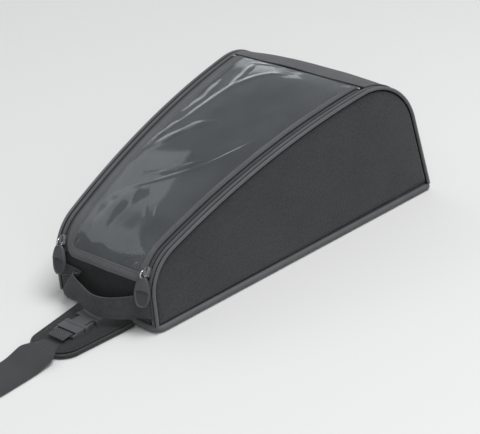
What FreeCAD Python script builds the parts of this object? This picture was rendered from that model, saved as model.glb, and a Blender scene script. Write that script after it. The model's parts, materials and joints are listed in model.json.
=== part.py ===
import FreeCAD, Part
import math
import os

# Motorcycle tank bag. Millimetres, +Y towards the handlebars, +X the rider's right, +Z up.
# The origin is on the underside of the base, midway along the bag.

os.makedirs("parts", exist_ok=True)
doc = FreeCAD.newDocument("TankBag")
V = FreeCAD.Vector

# ---------------------------------------------------------------- driving dimensions
DIMENSIONS = [
    ("bag_length", 425), ("rear_width", 148), ("front_width", 230), ("base_thick", 8),
    ("base_overhang", 2), ("base_round", 14), ("base_edge_round", 4),
    ("rear_round", 52), ("rear_round_z", 42.7), ("front_round", 76), ("front_round_y", 117),
    ("front_round_z", 85.5), ("top_round", 1000),
    ("skin", 1.5), ("foam", 5), ("lining", 1), ("board", 2), ("fit_gap", 0.3),
    ("hinge_y", 122), ("lip_z", 57), ("hem_rear", 10), ("hem_left", 13), ("hem_right", 6.5),
    ("hem_thick", 1.6),
    ("gusset_in", 8.7), ("chain_in", 13.4), ("chain_wide", 4.4), ("lid_in", 14.2),
    ("piping_radius", 1.9), ("rear_panel_top", 63), ("rear_panel_set", 4.5),
    ("handle_wide", 28), ("handle_low", 17), ("handle_thick", 2), ("handle_bow", 31),
    ("webbing_wide", 25), ("webbing_thick", 1.6),
    ("slider_wide", 8.4), ("slider_long", 11), ("slider_thick", 3.4), ("ear_tall", 5.1), ("ear_thick", 1.1),
    ("pin_radius", 0.7), ("pin_length", 6.4), ("ring_radius", 4.2), ("ring_wire", 0.7),
    ("tab_wide", 19), ("tab_long", 36), ("tab_thick", 3), ("tab_hole", 1.5),
    ("tongue_root", 86), ("tongue_end", 62), ("tongue_long", 96), ("tongue_thick", 4.2), ("binding_wide", 8),
    ("buckle_wide", 31), ("buckle_thick", 8), ("female_long", 36), ("male_long", 17),
    ("bar_radius", 1.6), ("loop_gap", 0.4),
    ("seat_strap_wide", 50), ("seat_strap_long", 95),
    ("front_web_long", 58), ("lock_wide", 32), ("lock_long", 22), ("lock_thick", 2.4),
]
sheet = doc.addObject("Spreadsheet::Sheet", "Dimensions")
for row, (alias, value) in enumerate(DIMENSIONS, start=1):
    sheet.set("A%d" % row, alias)
    sheet.set("B%d" % row, str(value))
    sheet.setAlias("B%d" % row, alias)
doc.recompute()


def dim(alias):
    return float(sheet.get(alias))


LENGTH = dim("bag_length")
REAR_Y = -LENGTH / 2
FRONT_Y = LENGTH / 2
BASE_TOP = dim("base_thick")
HINGE_Y = dim("hinge_y")
GAP = dim("fit_gap")
SKIN = dim("skin")
TAPER = math.atan((dim("front_width") - dim("rear_width")) / 2 / LENGTH)
TALL = 260.0
WIDE = 300.0
BEYOND = 60.0                 # how far cutting shapes run past the bag's ends
BELOW = -10.0
sub_parts = []
SIDES = ((-1, "left"), (1, "right"))

# Layers that follow the side profile: their top and under face, measured out from the profile.
GUSSET_LAYER = (0.0, -SKIN)
CHAIN_LAYER = (0.5, -2.4)
LID_ZIP_LAYER = (-3.2, -5.0)
LID_LAYER = (-0.2, -0.2 - SKIN)
LID_LINING_LAYER = (-1.9, -2.9)
WINDOW_LAYER = (0.7, 0.0)
HEM_LAYER = (0.9 + dim("hem_thick"), 0.9)
FRONT_LINING_LAYER = (-2.0, -3.0)
REAR_LAYER = (-dim("rear_panel_set"), -dim("rear_panel_set") - SKIN)
REAR_LINING_LAYER = (-dim("rear_panel_set") - 2, -dim("rear_panel_set") - 3)

WALL_IN = SKIN + dim("foam") + dim("lining")
PADDING_SET = -8.0            # the wall's foam and lining stop this far short of its edge
WINDOW_UNDER = 3.5            # the window runs this far under the hem
PIPING_LIFT = 0.2             # how far the piping stands off the profile


def half_width(y):
    """Half the bag's outside width at a place along its length."""
    along = (y - REAR_Y) / LENGTH
    return (dim("rear_width") + (dim("front_width") - dim("rear_width")) * along) / 2


def polar(centre, radius, degrees):
    angle = math.radians(degrees)
    return (centre[0] + radius * math.cos(angle), centre[1] + radius * math.sin(angle))


# ---------------------------------------------------------------- the side profile
REAR_CENTRE = (REAR_Y + dim("rear_round"), dim("rear_round_z"))
FRONT_CENTRE = (dim("front_round_y"), dim("front_round_z"))


def top_centre():
    """Centre of the long top arc, tangent inside to the rear and front corner arcs."""
    to_rear = dim("top_round") - dim("rear_round")
    to_front = dim("top_round") - dim("front_round")
    dy = FRONT_CENTRE[0] - REAR_CENTRE[0]
    dz = FRONT_CENTRE[1] - REAR_CENTRE[1]
    span = math.hypot(dy, dz)
    along = (to_rear ** 2 - to_front ** 2 + span ** 2) / (2 * span)
    below = math.sqrt(to_rear ** 2 - along ** 2)
    return (REAR_CENTRE[0] + (dy * along + dz * below) / span,
            REAR_CENTRE[1] + (dz * along - dy * below) / span)


TOP_CENTRE = top_centre()
REAR_ANGLE = math.degrees(math.atan2(REAR_CENTRE[1] - TOP_CENTRE[1], REAR_CENTRE[0] - TOP_CENTRE[0]))
TOP_ANGLE = math.degrees(math.atan2(FRONT_CENTRE[1] - TOP_CENTRE[1], FRONT_CENTRE[0] - TOP_CENTRE[0]))


def front_angle():
    """Direction of the front face's normal: the face is tangent to the front arc and meets the base."""
    dy = FRONT_Y - FRONT_CENTRE[0]
    dz = BASE_TOP - FRONT_CENTRE[1]
    reach = math.hypot(dy, dz)
    return math.degrees(math.atan2(dz, dy) + math.acos(dim("front_round") / reach))


FRONT_ANGLE = front_angle()


def outline(offset):
    """The closed side profile grown by offset, as sketch geometry in (along, up)."""
    rear_radius = dim("rear_round") + offset
    front_radius = dim("front_round") + offset
    top_radius = dim("top_round") + offset
    rear_low = (REAR_Y - offset, BASE_TOP)
    rear_high = (REAR_Y - offset, REAR_CENTRE[1])
    front_high = polar(FRONT_CENTRE, front_radius, FRONT_ANGLE)
    lean = math.tan(math.radians(FRONT_ANGLE))
    front_low = (front_high[0] + (front_high[1] - BASE_TOP) * lean, BASE_TOP)

    def line(a, b):
        return Part.LineSegment(V(a[0], a[1], 0), V(b[0], b[1], 0))

    def arc(centre, radius, low, high):
        circle = Part.Circle(V(centre[0], centre[1], 0), V(0, 0, 1), radius)
        return Part.ArcOfCircle(circle, math.radians(low), math.radians(high))

    return [
        line(rear_low, rear_high),
        arc(REAR_CENTRE, rear_radius, REAR_ANGLE, 180),
        arc(TOP_CENTRE, top_radius, TOP_ANGLE, REAR_ANGLE),
        arc(FRONT_CENTRE, front_radius, FRONT_ANGLE, TOP_ANGLE),
        line(front_high, front_low),
        line(front_low, rear_low),
    ]


UPRIGHT = FreeCAD.Placement(FreeCAD.Matrix(0, 0, 1, 0, 1, 0, 0, 0, 0, 1, 0, 0, 0, 0, 0, 1))


def surface_z(y, offset=0.0):
    """Height of the top long arc above a place along the bag."""
    radius = dim("top_round") + offset
    return TOP_CENTRE[1] + math.sqrt(radius ** 2 - (y - TOP_CENTRE[0]) ** 2)


# ---------------------------------------------------------------- builders
def finish(item, label):
    item.Label = label
    sub_parts.append(item)
    return item


def shape_part(label, shape):
    """A piece whose curved form is worked out with Part functions."""
    item = doc.addObject("Part::Feature", label)
    item.Shape = shape
    item.Placement = shape.Placement
    return finish(item, label)


def new_body(label, placement=None):
    body = doc.addObject("PartDesign::Body", label)
    if placement is not None:
        body.Placement = placement
    return finish(body, label)


def sketch_on(body, plane, name, height=0.0):
    """A sketch on one of the body's own origin planes, raised along the plane's normal."""
    origin_plane = [f for f in body.Origin.OriginFeatures if f.Role == plane][0]
    sketch = body.newObject("Sketcher::SketchObject", name)
    sketch.AttachmentSupport = [(origin_plane, "")]
    sketch.MapMode = "FlatFace"
    sketch.AttachmentOffset = FreeCAD.Placement(V(0, 0, height), FreeCAD.Rotation())
    return sketch


def add_loop(sketch, points, radii=None):
    """A closed outline through points, each corner rounded by its radius."""
    edges = loop_geometry(points, radii)
    sketch.addGeometry(edges, False)


def loop_geometry(points, radii=None):
    count = len(points)
    radii = radii or [0] * count
    cuts = []
    for i in range(count):
        before, here, after = V(*points[i - 1], 0), V(*points[i], 0), V(*points[(i + 1) % count], 0)
        cuts.append(corner(before, here, after, radii[i]))
    geometry = []
    for i in range(count):
        enter, middle, leave = cuts[i]
        if radii[i] > 0:
            geometry.append(Part.Arc(enter, middle, leave))
        following = cuts[(i + 1) % count][0]
        if (following - leave).Length > 1e-6:
            geometry.append(Part.LineSegment(leave, following))
    return geometry


def corner(before, here, after, radius):
    """Where a rounded corner starts, its middle and where it ends."""
    if radius <= 0:
        return here, here, here
    back = (before - here).normalize()
    ahead = (after - here).normalize()
    half = back.getAngle(ahead) / 2
    bisector = (back + ahead).normalize()
    run = radius / math.tan(half)
    centre = here + bisector * (radius / math.sin(half))
    return here + back * run, centre - bisector * radius, here + ahead * run


def bind(item, prop, expression):
    item.setExpression(prop, expression)


def pad(body, sketch, name, expression, reverse=False, midplane=False):
    feature = body.newObject("PartDesign::Pad", name)
    feature.Profile = sketch
    bind(feature, "Length", expression)
    feature.Reversed = reverse
    feature.Midplane = midplane
    return feature


def pocket_through(body, sketch, name):
    feature = body.newObject("PartDesign::Pocket", name)
    feature.Profile = sketch
    feature.Type = "ThroughAll"
    feature.Midplane = True
    return feature


def plate_body(label, points, radii, height, expression):
    """A flat piece lying level: one outline padded upwards."""
    body = new_body(label)
    sketch = sketch_on(body, "XY_Plane", label + "_outline", height)
    add_loop(sketch, points, radii)
    pad(body, sketch, label + "_pad", expression)
    return body


def rectangle(low, high):
    """The four corners of an upright rectangle between two opposite corners."""
    return [low, (high[0], low[1]), high, (low[0], high[1])]


def prism(points, low, high):
    """A closed plan outline raised between two heights."""
    wire = Part.makePolygon([V(x, y, low) for x, y in points] + [V(points[0][0], points[0][1], low)])
    return Part.Face(wire).extrude(V(0, 0, high - low))


def profile_prism(offset):
    """The side profile grown by offset, carried right across the bag."""
    wire = Part.Wire([g.toShape() for g in outline(offset)])
    solid = Part.Face(wire).extrude(V(0, 0, WIDE))
    solid.translate(V(0, 0, -WIDE / 2))
    solid.Placement = UPRIGHT.multiply(solid.Placement)
    return solid


def plan_strip(side, outer, inner):
    """Plan of a strip that runs beside one side panel, between two insets from its face."""
    far, near = FRONT_Y + BEYOND, REAR_Y - BEYOND
    points = [(side * (half_width(near) - outer), near), (side * (half_width(far) - outer), far),
              (side * (half_width(far) - inner), far), (side * (half_width(near) - inner), near)]
    return prism(points, BELOW, TALL)


def plan_between(left_inset, right_inset):
    """Plan of everything further in than these insets from the two side faces."""
    far, near = FRONT_Y + BEYOND, REAR_Y - BEYOND
    points = [(-(half_width(near) - left_inset), near), (-(half_width(far) - left_inset), far),
              (half_width(far) - right_inset, far), (half_width(near) - right_inset, near)]
    return prism(points, BELOW, TALL)


def plan_middle(inset):
    return plan_between(inset, inset)


def box_between(low, high):
    return Part.makeBox(high[0] - low[0], high[1] - low[1], high[2] - low[2], V(*low))


def region(low_y, low_z, high_y, high_z=TALL):
    """Everything across the bag between two places along it and two heights."""
    return box_between((-WIDE, low_y, low_z), (WIDE, high_y, high_z))


LID_END = HINGE_Y - 1         # the lid's cloth stops just short of its fold
LID_REGION = region(REAR_Y - BEYOND, dim("lip_z"), LID_END)
LID_ZIP_REGION = region(REAR_Y - BEYOND, dim("rear_panel_top") + 3, LID_END)
WINDOW_REGION = region(REAR_Y - BEYOND, dim("lip_z") + dim("hem_rear") - WINDOW_UNDER, LID_END)
HEM_HOLE_REGION = region(REAR_Y - BEYOND, dim("lip_z") + dim("hem_rear"), HINGE_Y + dim("hem_rear"))
FRONT_REGION = region(HINGE_Y + 0.5, BELOW, FRONT_Y + BEYOND)
REAR_REGION = region(REAR_Y - BEYOND, BELOW, REAR_CENTRE[0], dim("rear_panel_top"))
WALL_REGION = region(REAR_Y - BEYOND, BASE_TOP, FRONT_Y + BEYOND)


def skin_band(layer, plan, where):
    """A sheet that follows the side profile between two offsets, cut to a plan and a region."""
    top, under = layer
    ring = profile_prism(top).cut(profile_prism(under))
    return ring.common(plan).common(where)


# ---------------------------------------------------------------- base
def base_outline(grow, radius):
    rear, front = REAR_Y - grow, FRONT_Y + grow
    corners = [(-(half_width(rear) + grow), rear), (half_width(rear) + grow, rear),
               (half_width(front) + grow, front), (-(half_width(front) + grow), front)]
    return corners, [radius] * 4


def make_base():
    points, radii = base_outline(dim("base_overhang"), dim("base_round"))
    body = plate_body("base_pad", points, radii, 0, "Dimensions.base_thick")
    doc.recompute()
    slab = body.Tip
    touching = 0.01
    edges = ["Edge%d" % (i + 1) for i, e in enumerate(slab.Shape.Edges) if e.BoundBox.ZMax < touching]
    fillet = body.newObject("PartDesign::Fillet", "base_roll")
    fillet.Base = (slab, edges)
    bind(fillet, "Radius", "Dimensions.base_edge_round")
    inside = WALL_IN + GAP + 1
    points, radii = base_outline(-inside, dim("base_round") - 6)
    plate_body("base_board", points, radii, BASE_TOP, "Dimensions.board")
    plate_body("base_lining", points, radii, BASE_TOP + dim("board"), "Dimensions.lining")


# ---------------------------------------------------------------- side walls
def side_layer(label, side, inset, offset, thick_alias):
    """One flat layer of a side wall: the side profile padded inwards from its own face."""
    turn = -math.degrees(TAPER) * side
    face = V(side * half_width(0), 0, 0)
    inward = V(-side * math.cos(TAPER), math.sin(TAPER), 0)
    placement = FreeCAD.Placement(face + inward * inset, FreeCAD.Rotation(V(0, 0, 1), turn))
    body = new_body(label, placement)
    sketch = sketch_on(body, "YZ_Plane", label + "_outline")
    sketch.addGeometry(outline(offset), False)
    pad(body, sketch, label + "_pad", "Dimensions." + thick_alias, reverse=(side > 0))
    return body


def make_side(side, name):
    side_layer("side_panel_" + name, side, 0, 0, "skin")
    side_layer("side_foam_" + name, side, SKIN, PADDING_SET, "foam")
    side_layer("side_lining_" + name, side, SKIN + dim("foam"), PADDING_SET, "lining")
    piping = piping_cord(side)
    strip = skin_band(GUSSET_LAYER, plan_strip(side, SKIN + 0.2, dim("gusset_in")), WALL_REGION)
    shape_part("gusset_" + name, strip.cut(piping))
    chain_plan = plan_strip(side, dim("chain_in") - dim("chain_wide"), dim("chain_in"))
    shape_part("zip_chain_" + name, skin_band(CHAIN_LAYER, chain_plan, LID_REGION))
    lid_zip_plan = plan_strip(side, dim("lid_in"), dim("lid_in") + 3)
    shape_part("lid_zip_" + name, skin_band(LID_ZIP_LAYER, lid_zip_plan, LID_ZIP_REGION))
    shape_part("piping_" + name, piping)


def piping_cord(side):
    """A round cord sewn along the corner between the side panel and the gusset."""
    radius = dim("piping_radius")
    all_but_base = outline(radius + PIPING_LIFT)[:-1]
    path = Part.Wire(Part.__sortEdges__([g.toShape() for g in all_but_base]))
    start = V(REAR_Y - radius - PIPING_LIFT, BASE_TOP, 0)
    section = Part.Wire(Part.makeCircle(radius, start, V(0, 1, 0)))
    cord = Part.Wire(path).makePipeShell([section], True, True)
    cord.Placement = UPRIGHT.multiply(cord.Placement)
    turn = -math.degrees(TAPER) * side
    cord.rotate(V(0, 0, 0), V(0, 0, 1), turn)
    cord.translate(V(side * (half_width(0) - radius), 0, 0))
    return cord


# ---------------------------------------------------------------- front, rear and lid sheets
def make_sheets():
    inside = plan_middle(WALL_IN + 1)
    lid_plan = plan_middle(dim("lid_in"))
    shape_part("front_panel", skin_band(GUSSET_LAYER, plan_middle(dim("gusset_in") + GAP), FRONT_REGION))
    shape_part("front_lining", skin_band(FRONT_LINING_LAYER, inside, FRONT_REGION))
    shape_part("rear_panel", skin_band(REAR_LAYER, inside, REAR_REGION))
    shape_part("rear_lining", skin_band(REAR_LINING_LAYER, inside, REAR_REGION))
    shape_part("lid_panel", skin_band(LID_LAYER, lid_plan, LID_REGION))
    shape_part("lid_lining", skin_band(LID_LINING_LAYER, plan_middle(dim("lid_in") + 0.5), LID_REGION))
    left_hem, right_hem = dim("lid_in") + dim("hem_left"), dim("lid_in") + dim("hem_right")
    window_plan = plan_between(left_hem - WINDOW_UNDER, right_hem - WINDOW_UNDER)
    shape_part("lid_window", skin_band(WINDOW_LAYER, window_plan, WINDOW_REGION))
    hole = plan_between(left_hem, right_hem).common(HEM_HOLE_REGION)
    shape_part("lid_hem", skin_band(HEM_LAYER, lid_plan, LID_REGION).cut(hole))


def make_zip_stops():
    """Two small metal stops at the front ends of the zips."""
    stops = []
    stop_long, stop_thick = 3.0, 1.4
    rear_end = HINGE_Y - 2 * stop_long
    low = surface_z(HINGE_Y, CHAIN_LAYER[0] + 0.1)
    for side, _ in SIDES:
        middle = side * (half_width(HINGE_Y) - dim("chain_in") + dim("chain_wide") / 2)
        stop = Part.makeBox(dim("chain_wide"), stop_long, stop_thick)
        stop.translate(V(middle - dim("chain_wide") / 2, rear_end, low))
        stops.append(stop)
    shape_part("zip_stops", Part.makeCompound(stops))


# ---------------------------------------------------------------- carrying handle
def ribbon(points, radii, thick):
    """A closed outline of constant thickness along an open path with rounded corners."""
    count = len(points)
    sides = []
    for sign in (1, -1):
        shifted, rounds = [], []
        for i in range(count):
            here = V(*points[i], 0)
            ways = []
            if i > 0:
                ways.append((here - V(*points[i - 1], 0)).normalize())
            if i < count - 1:
                ways.append((V(*points[i + 1], 0) - here).normalize())
            normals = [V(-w.y, w.x, 0) for w in ways]
            mitre = normals[0] + normals[-1]
            mitre = mitre * (1.0 / mitre.dot(normals[0]))
            shifted.append(here + mitre * (sign * thick / 2))
            turn = ways[0].cross(ways[-1]).z
            rounds.append(radii[i] - sign * thick / 2 * math.copysign(1, turn) if radii[i] > 0 else 0)
        sides.append((shifted, rounds))
    left, left_rounds = sides[0]
    right, right_rounds = sides[1]
    outline_points = [(p.x, p.y) for p in left] + [(p.x, p.y) for p in reversed(right)]
    return loop_geometry(outline_points, left_rounds + list(reversed(right_rounds)))


def ribbon_face(points, radii, thick):
    return Part.Face(Part.Wire(Part.__sortEdges__([g.toShape() for g in ribbon(points, radii, thick)])))


# The slack handle seen from above: one strap that bulges to the rear, sewn down at both ends.
HANDLE_WALL_Y = REAR_Y - dim("handle_thick") / 2 - 0.2
HANDLE_SEAM_X = half_width(REAR_Y) - 6
HANDLE_BOW = (14, REAR_Y - dim("handle_bow"))
HANDLE_PATH = [(43, REAR_Y - 14.5), HANDLE_BOW, (-44, REAR_Y - 17.5), (-51, REAR_Y - 6.5)]
HANDLE_ROUNDS = [0, 30, 7, 0]
RIGHT_FOOT_PATH = [(HANDLE_SEAM_X, HANDLE_WALL_Y), (56.5, HANDLE_WALL_Y), (43.5, REAR_Y - 13.7)]
RIGHT_FOOT_ROUNDS = [0, 20, 0]
LEFT_FOOT_PATH = [(-HANDLE_SEAM_X, HANDLE_WALL_Y), (-51.5, HANDLE_WALL_Y), (-51.3, REAR_Y - 6)]
LEFT_FOOT_ROUNDS = [0, 2.2, 0]


def make_handle():
    body = new_body("handle")
    sketch = sketch_on(body, "XY_Plane", "handle_path", dim("handle_low"))
    sketch.addGeometry(ribbon(HANDLE_PATH, HANDLE_ROUNDS, dim("handle_thick")), False)
    pad(body, sketch, "handle_pad", "Dimensions.handle_wide")
    feet = []
    for path, rounds in ((RIGHT_FOOT_PATH, RIGHT_FOOT_ROUNDS), (LEFT_FOOT_PATH, LEFT_FOOT_ROUNDS)):
        foot = ribbon_face(path, rounds, dim("handle_thick")).extrude(V(0, 0, dim("handle_wide")))
        foot.translate(V(0, 0, dim("handle_low")))
        feet.append(foot)
    shape_part("handle_feet", Part.makeCompound(feet))


# ---------------------------------------------------------------- zip sliders and pulls
SLIDER_ANGLE = 150.0          # where the slider sits round the rear corner
SLIDER_TILT = 158.0           # direction of the slider's own top
SLIDER_INSET = 9.6
PIN_HEIGHT = 8.6
PLATE_HEIGHT = 1.5
PULL_LEAN = 13.0              # the pull leans on the lid's lip by this much
EAR_OUT = 2.6                 # outer face of the slider's ears, from its middle
EAR_REACH = 2.0
GROOVE_HALF = 1.2             # the coil runs through a groove this far each side of the middle
GROOVE_ROOF = 1.2
BORE_PLAY = 0.06


def make_slider(side, name):
    along, up = polar(REAR_CENTRE, dim("rear_round") + PIN_HEIGHT, SLIDER_ANGLE)
    pin_place = V(side * (half_width(along) - SLIDER_INSET), along, up)
    yaw = FreeCAD.Rotation(V(0, 0, 1), -math.degrees(TAPER) * side)
    tilt = FreeCAD.Rotation(V(1, 0, 0), SLIDER_TILT - 90)
    placement = FreeCAD.Placement(pin_place, yaw.multiply(tilt))
    wide, long, thick = dim("slider_wide"), dim("slider_long"), dim("slider_thick")
    drop = PIN_HEIGHT - PLATE_HEIGHT
    body = new_body("slider_" + name, placement)
    plate = sketch_on(body, "XY_Plane", "slider_plate_" + name, -drop)
    add_loop(plate, rectangle((-wide / 2, -long / 2), (wide / 2, long / 2)), [2.5, 2.5, 3.6, 3.6])
    pad(body, plate, "slider_plate_pad_" + name, "Dimensions.slider_thick")
    ear = dim("ear_thick")
    ears = sketch_on(body, "XY_Plane", "slider_ears_" + name, thick - drop)
    for x in (-EAR_OUT, EAR_OUT - ear):
        add_loop(ears, rectangle((x, -EAR_REACH), (x + ear, EAR_REACH)))
    pad(body, ears, "slider_ears_pad_" + name, "Dimensions.ear_tall")
    groove = sketch_on(body, "XY_Plane", "slider_groove_" + name, thick - drop)
    add_loop(groove, rectangle((-GROOVE_HALF, -long), (GROOVE_HALF, long)))
    cut = body.newObject("PartDesign::Pocket", "slider_groove_cut_" + name)
    cut.Profile = groove
    bind(cut, "Length", "Dimensions.slider_thick - %g" % GROOVE_ROOF)
    bore = sketch_on(body, "YZ_Plane", "slider_bore_" + name)
    bore.addGeometry(Part.Circle(V(0, 0, 0), V(0, 0, 1), dim("pin_radius") + BORE_PLAY), False)
    pocket_through(body, bore, "slider_bore_cut_" + name)

    pin = doc.addObject("Part::Cylinder", "slider_pin_" + name)
    bind(pin, "Radius", "Dimensions.pin_radius")
    bind(pin, "Height", "Dimensions.pin_length")
    half_pin = V(-dim("pin_length") / 2, 0, 0)
    pin.Placement = FreeCAD.Placement(pin_place + yaw.multVec(half_pin),
                                      yaw.multiply(FreeCAD.Rotation(V(0, 1, 0), 90)))
    finish(pin, "slider_pin_" + name)

    lean = FreeCAD.Rotation(V(1, 0, 0), -PULL_LEAN)
    hang = FreeCAD.Placement(pin_place, yaw.multiply(lean))
    make_pull(hang, name)


def make_pull(hang, name):
    """A wire ring through the slider's ears and a flat oval rubber pull hanging from it."""
    ring_drop = dim("ring_radius") - dim("ring_wire") - dim("pin_radius") - 2 * BORE_PLAY
    ring = doc.addObject("Part::Torus", "pull_ring_" + name)
    bind(ring, "Radius1", "Dimensions.ring_radius")
    bind(ring, "Radius2", "Dimensions.ring_wire")
    spin = FreeCAD.Rotation(V(0, 1, 0), 90)
    ring.Placement = hang.multiply(FreeCAD.Placement(V(0, 0, -ring_drop), spin))
    finish(ring, "pull_ring_" + name)

    hole_z = -ring_drop - dim("ring_radius")
    wide, long, thick = dim("tab_wide"), dim("tab_long"), dim("tab_thick")
    hole_to_top = 2.7
    top = hole_z + hole_to_top
    body = new_body("pull_tab_" + name, hang)
    face = sketch_on(body, "XZ_Plane", "tab_face_" + name)
    shoulder = wide / 2 - 3.2
    end_round, side_round = 5.5, 30
    add_loop(face, [(-shoulder, top), (shoulder, top), (wide / 2, top - long / 2), (shoulder, top - long),
                    (-shoulder, top - long), (-wide / 2, top - long / 2)],
             [end_round, end_round, side_round, end_round, end_round, side_round])
    face.addGeometry(Part.Circle(V(0, hole_z, 0), V(0, 0, 1), dim("tab_hole")), False)
    pad(body, face, "tab_pad_" + name, "Dimensions.tab_thick", midplane=True)


# ---------------------------------------------------------------- tail flap, buckle and seat strap
ROOT_GAP = 0.6                # soft roots start this far off the base's edge
TAIL_Y = REAR_Y - dim("base_overhang") - ROOT_GAP
CHAIN_Z = dim("tongue_thick") + ROOT_GAP
ROOT_TO_BAR = 12.5
BAR_Y = TAIL_Y - ROOT_TO_BAR
BAR_Z = CHAIN_Z + dim("buckle_thick") / 2
FEMALE_END = BAR_Y - dim("female_long") + dim("bar_radius")
MALE_END = FEMALE_END - GAP - dim("male_long")
MALE_BAR_Y = MALE_END + dim("bar_radius")


def tongue_outline(inset):
    root, end = dim("tongue_root") / 2 - inset, dim("tongue_end") / 2 - inset
    long = dim("tongue_long") - inset
    return [(-root, TAIL_Y), (-end, TAIL_Y - long), (end, TAIL_Y - long), (root, TAIL_Y)]


TONGUE_ROUND = 26
TONGUE_UNDER = 0.4            # the middle of the flap clears the tank by this much


def make_tongue():
    inset = dim("binding_wide")
    inner_round = TONGUE_ROUND - inset
    plate_body("tail_tongue", tongue_outline(inset + 0.1), [0, inner_round, inner_round, 0], TONGUE_UNDER,
               "Dimensions.tongue_thick - %g" % TONGUE_UNDER)
    binding = new_body("tongue_binding")
    sketch = sketch_on(binding, "XY_Plane", "tongue_binding_outline")
    outer = tongue_outline(0)
    inner = list(reversed(tongue_outline(inset)))
    radii = [0, TONGUE_ROUND, TONGUE_ROUND, 0, 0, inner_round, inner_round, 0]
    add_loop(sketch, outer + inner, radii)
    pad(binding, sketch, "tongue_binding_pad", "Dimensions.tongue_thick")


def extruded_ribbon(points, radii, width, thick):
    """A strap seen from the side, carried across its width."""
    strap = ribbon_face(points, radii, thick).extrude(V(0, 0, width))
    strap.translate(V(0, 0, -width / 2))
    strap.Placement = UPRIGHT.multiply(strap.Placement)
    return strap


LOOP_RADIUS = dim("bar_radius") + dim("loop_gap") + dim("webbing_thick") / 2
LOOP_SLOT = LOOP_RADIUS + dim("webbing_thick") / 2 + dim("loop_gap")


def web_loop(label, start, bar_y, bar_z, end, first_side=-1):
    """Webbing from start, round a bar beyond it and back over itself to end."""
    ahead = math.copysign(1, bar_y - start)
    turn_y = bar_y + ahead * LOOP_RADIUS
    first, second = bar_z + first_side * LOOP_RADIUS, bar_z - first_side * LOOP_RADIUS
    points = [(start, first), (turn_y, first), (turn_y, second), (end, second)]
    bend = LOOP_RADIUS - 0.01
    radii = [0, bend, bend, 0]
    shape_part(label, extruded_ribbon(points, radii, dim("webbing_wide") - 1, dim("webbing_thick")))


def make_tail_webbing():
    """Webbing from under the base, round the female buckle's bar and back on itself."""
    web_loop("tail_webbing", TAIL_Y, BAR_Y, BAR_Z, TAIL_Y + 0.4)


CORNER = 1.5                  # small moulded corners
SHELL = 2.4                   # the female half's side walls
ROOF = 1.6                    # its top and bottom walls
ARM_WIDE = 2.2                # the arms that carry a buckle half's webbing bar
PRONG_X = 9.2
PRONG_WIDE = 3.4
PRONG_LONG = 21.0


def buckle_arms(body, prefix, low_y, high_y):
    """Two arms beside the webbing and the round bar between them."""
    wide = dim("buckle_wide")
    arms = sketch_on(body, "XY_Plane", prefix + "_arms")
    for side, _ in SIDES:
        left, right = sorted((side * (wide / 2 - ARM_WIDE), side * wide / 2))
        add_loop(arms, rectangle((left, low_y), (right, high_y)))
    pad(body, arms, prefix + "_arms_pad", "Dimensions.buckle_thick - 3", midplane=True)


def buckle_bar(body, prefix, bar_y):
    bar = sketch_on(body, "YZ_Plane", prefix + "_bar")
    bar.addGeometry(Part.Circle(V(bar_y, 0, 0), V(0, 0, 1), dim("bar_radius")), False)
    pad(body, bar, prefix + "_bar_pad", "Dimensions.buckle_wide - 1", midplane=True)


def make_female():
    wide, thick = dim("buckle_wide"), dim("buckle_thick")
    body = new_body("buckle_female", FreeCAD.Placement(V(0, 0, BAR_Z), FreeCAD.Rotation()))
    front = BAR_Y - LOOP_SLOT - 0.2
    flare = 1.0
    plan = sketch_on(body, "XY_Plane", "female_plan")
    add_loop(plan, [(-wide / 2, front), (wide / 2, front),
                    (wide / 2 + flare, FEMALE_END), (-wide / 2 - flare, FEMALE_END)], [CORNER] * 4)
    pad(body, plan, "female_block", "Dimensions.buckle_thick", midplane=True)
    cavity = sketch_on(body, "XZ_Plane", "female_cavity", -FEMALE_END + 1)
    half_in, half_tall = wide / 2 - SHELL, thick / 2 - ROOF
    add_loop(cavity, rectangle((-half_in, -half_tall), (half_in, half_tall)))
    cut = body.newObject("PartDesign::Pocket", "female_cavity_cut")
    cut.Profile = cavity
    bind(cut, "Length", "Dimensions.female_long - 9")
    windows = sketch_on(body, "XY_Plane", "female_windows")
    low_y, high_y = FEMALE_END + 5, FEMALE_END + 17
    inner_x, outer_x = wide / 2 - 6, wide / 2 + 4
    for side, _ in SIDES:
        left, right = sorted((side * inner_x, side * outer_x))
        add_loop(windows, rectangle((left, low_y), (right, high_y)), [2, 0.5, 0.5, 2])
    pocket_through(body, windows, "female_windows_cut")
    buckle_arms(body, "female", front - 2, BAR_Y + dim("bar_radius"))
    buckle_bar(body, "female", BAR_Y)


def make_male():
    wide = dim("buckle_wide")
    face = FEMALE_END - GAP
    rear = MALE_BAR_Y + LOOP_SLOT
    body = new_body("buckle_male", FreeCAD.Placement(V(0, 0, BAR_Z), FreeCAD.Rotation()))
    plan = sketch_on(body, "XY_Plane", "male_plan")
    add_loop(plan, rectangle((-wide / 2, rear), (wide / 2, face)), [1] * 4)
    pad(body, plan, "male_block", "Dimensions.buckle_thick", midplane=True)
    guide = sketch_on(body, "XY_Plane", "male_guide")
    guide_root, guide_tip = 2.5, 2.0
    tip_y = face + PRONG_LONG - 2
    add_loop(guide, [(-guide_root, face - 1), (guide_root, face - 1),
                     (guide_tip, tip_y), (-guide_tip, tip_y)], [0, 0, 1, 1])
    pad(body, guide, "male_guide_pad", "Dimensions.buckle_thick - 4", midplane=True)
    buckle_arms(body, "male", MALE_END, rear + 2)
    buckle_bar(body, "male", MALE_BAR_Y)


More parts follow.
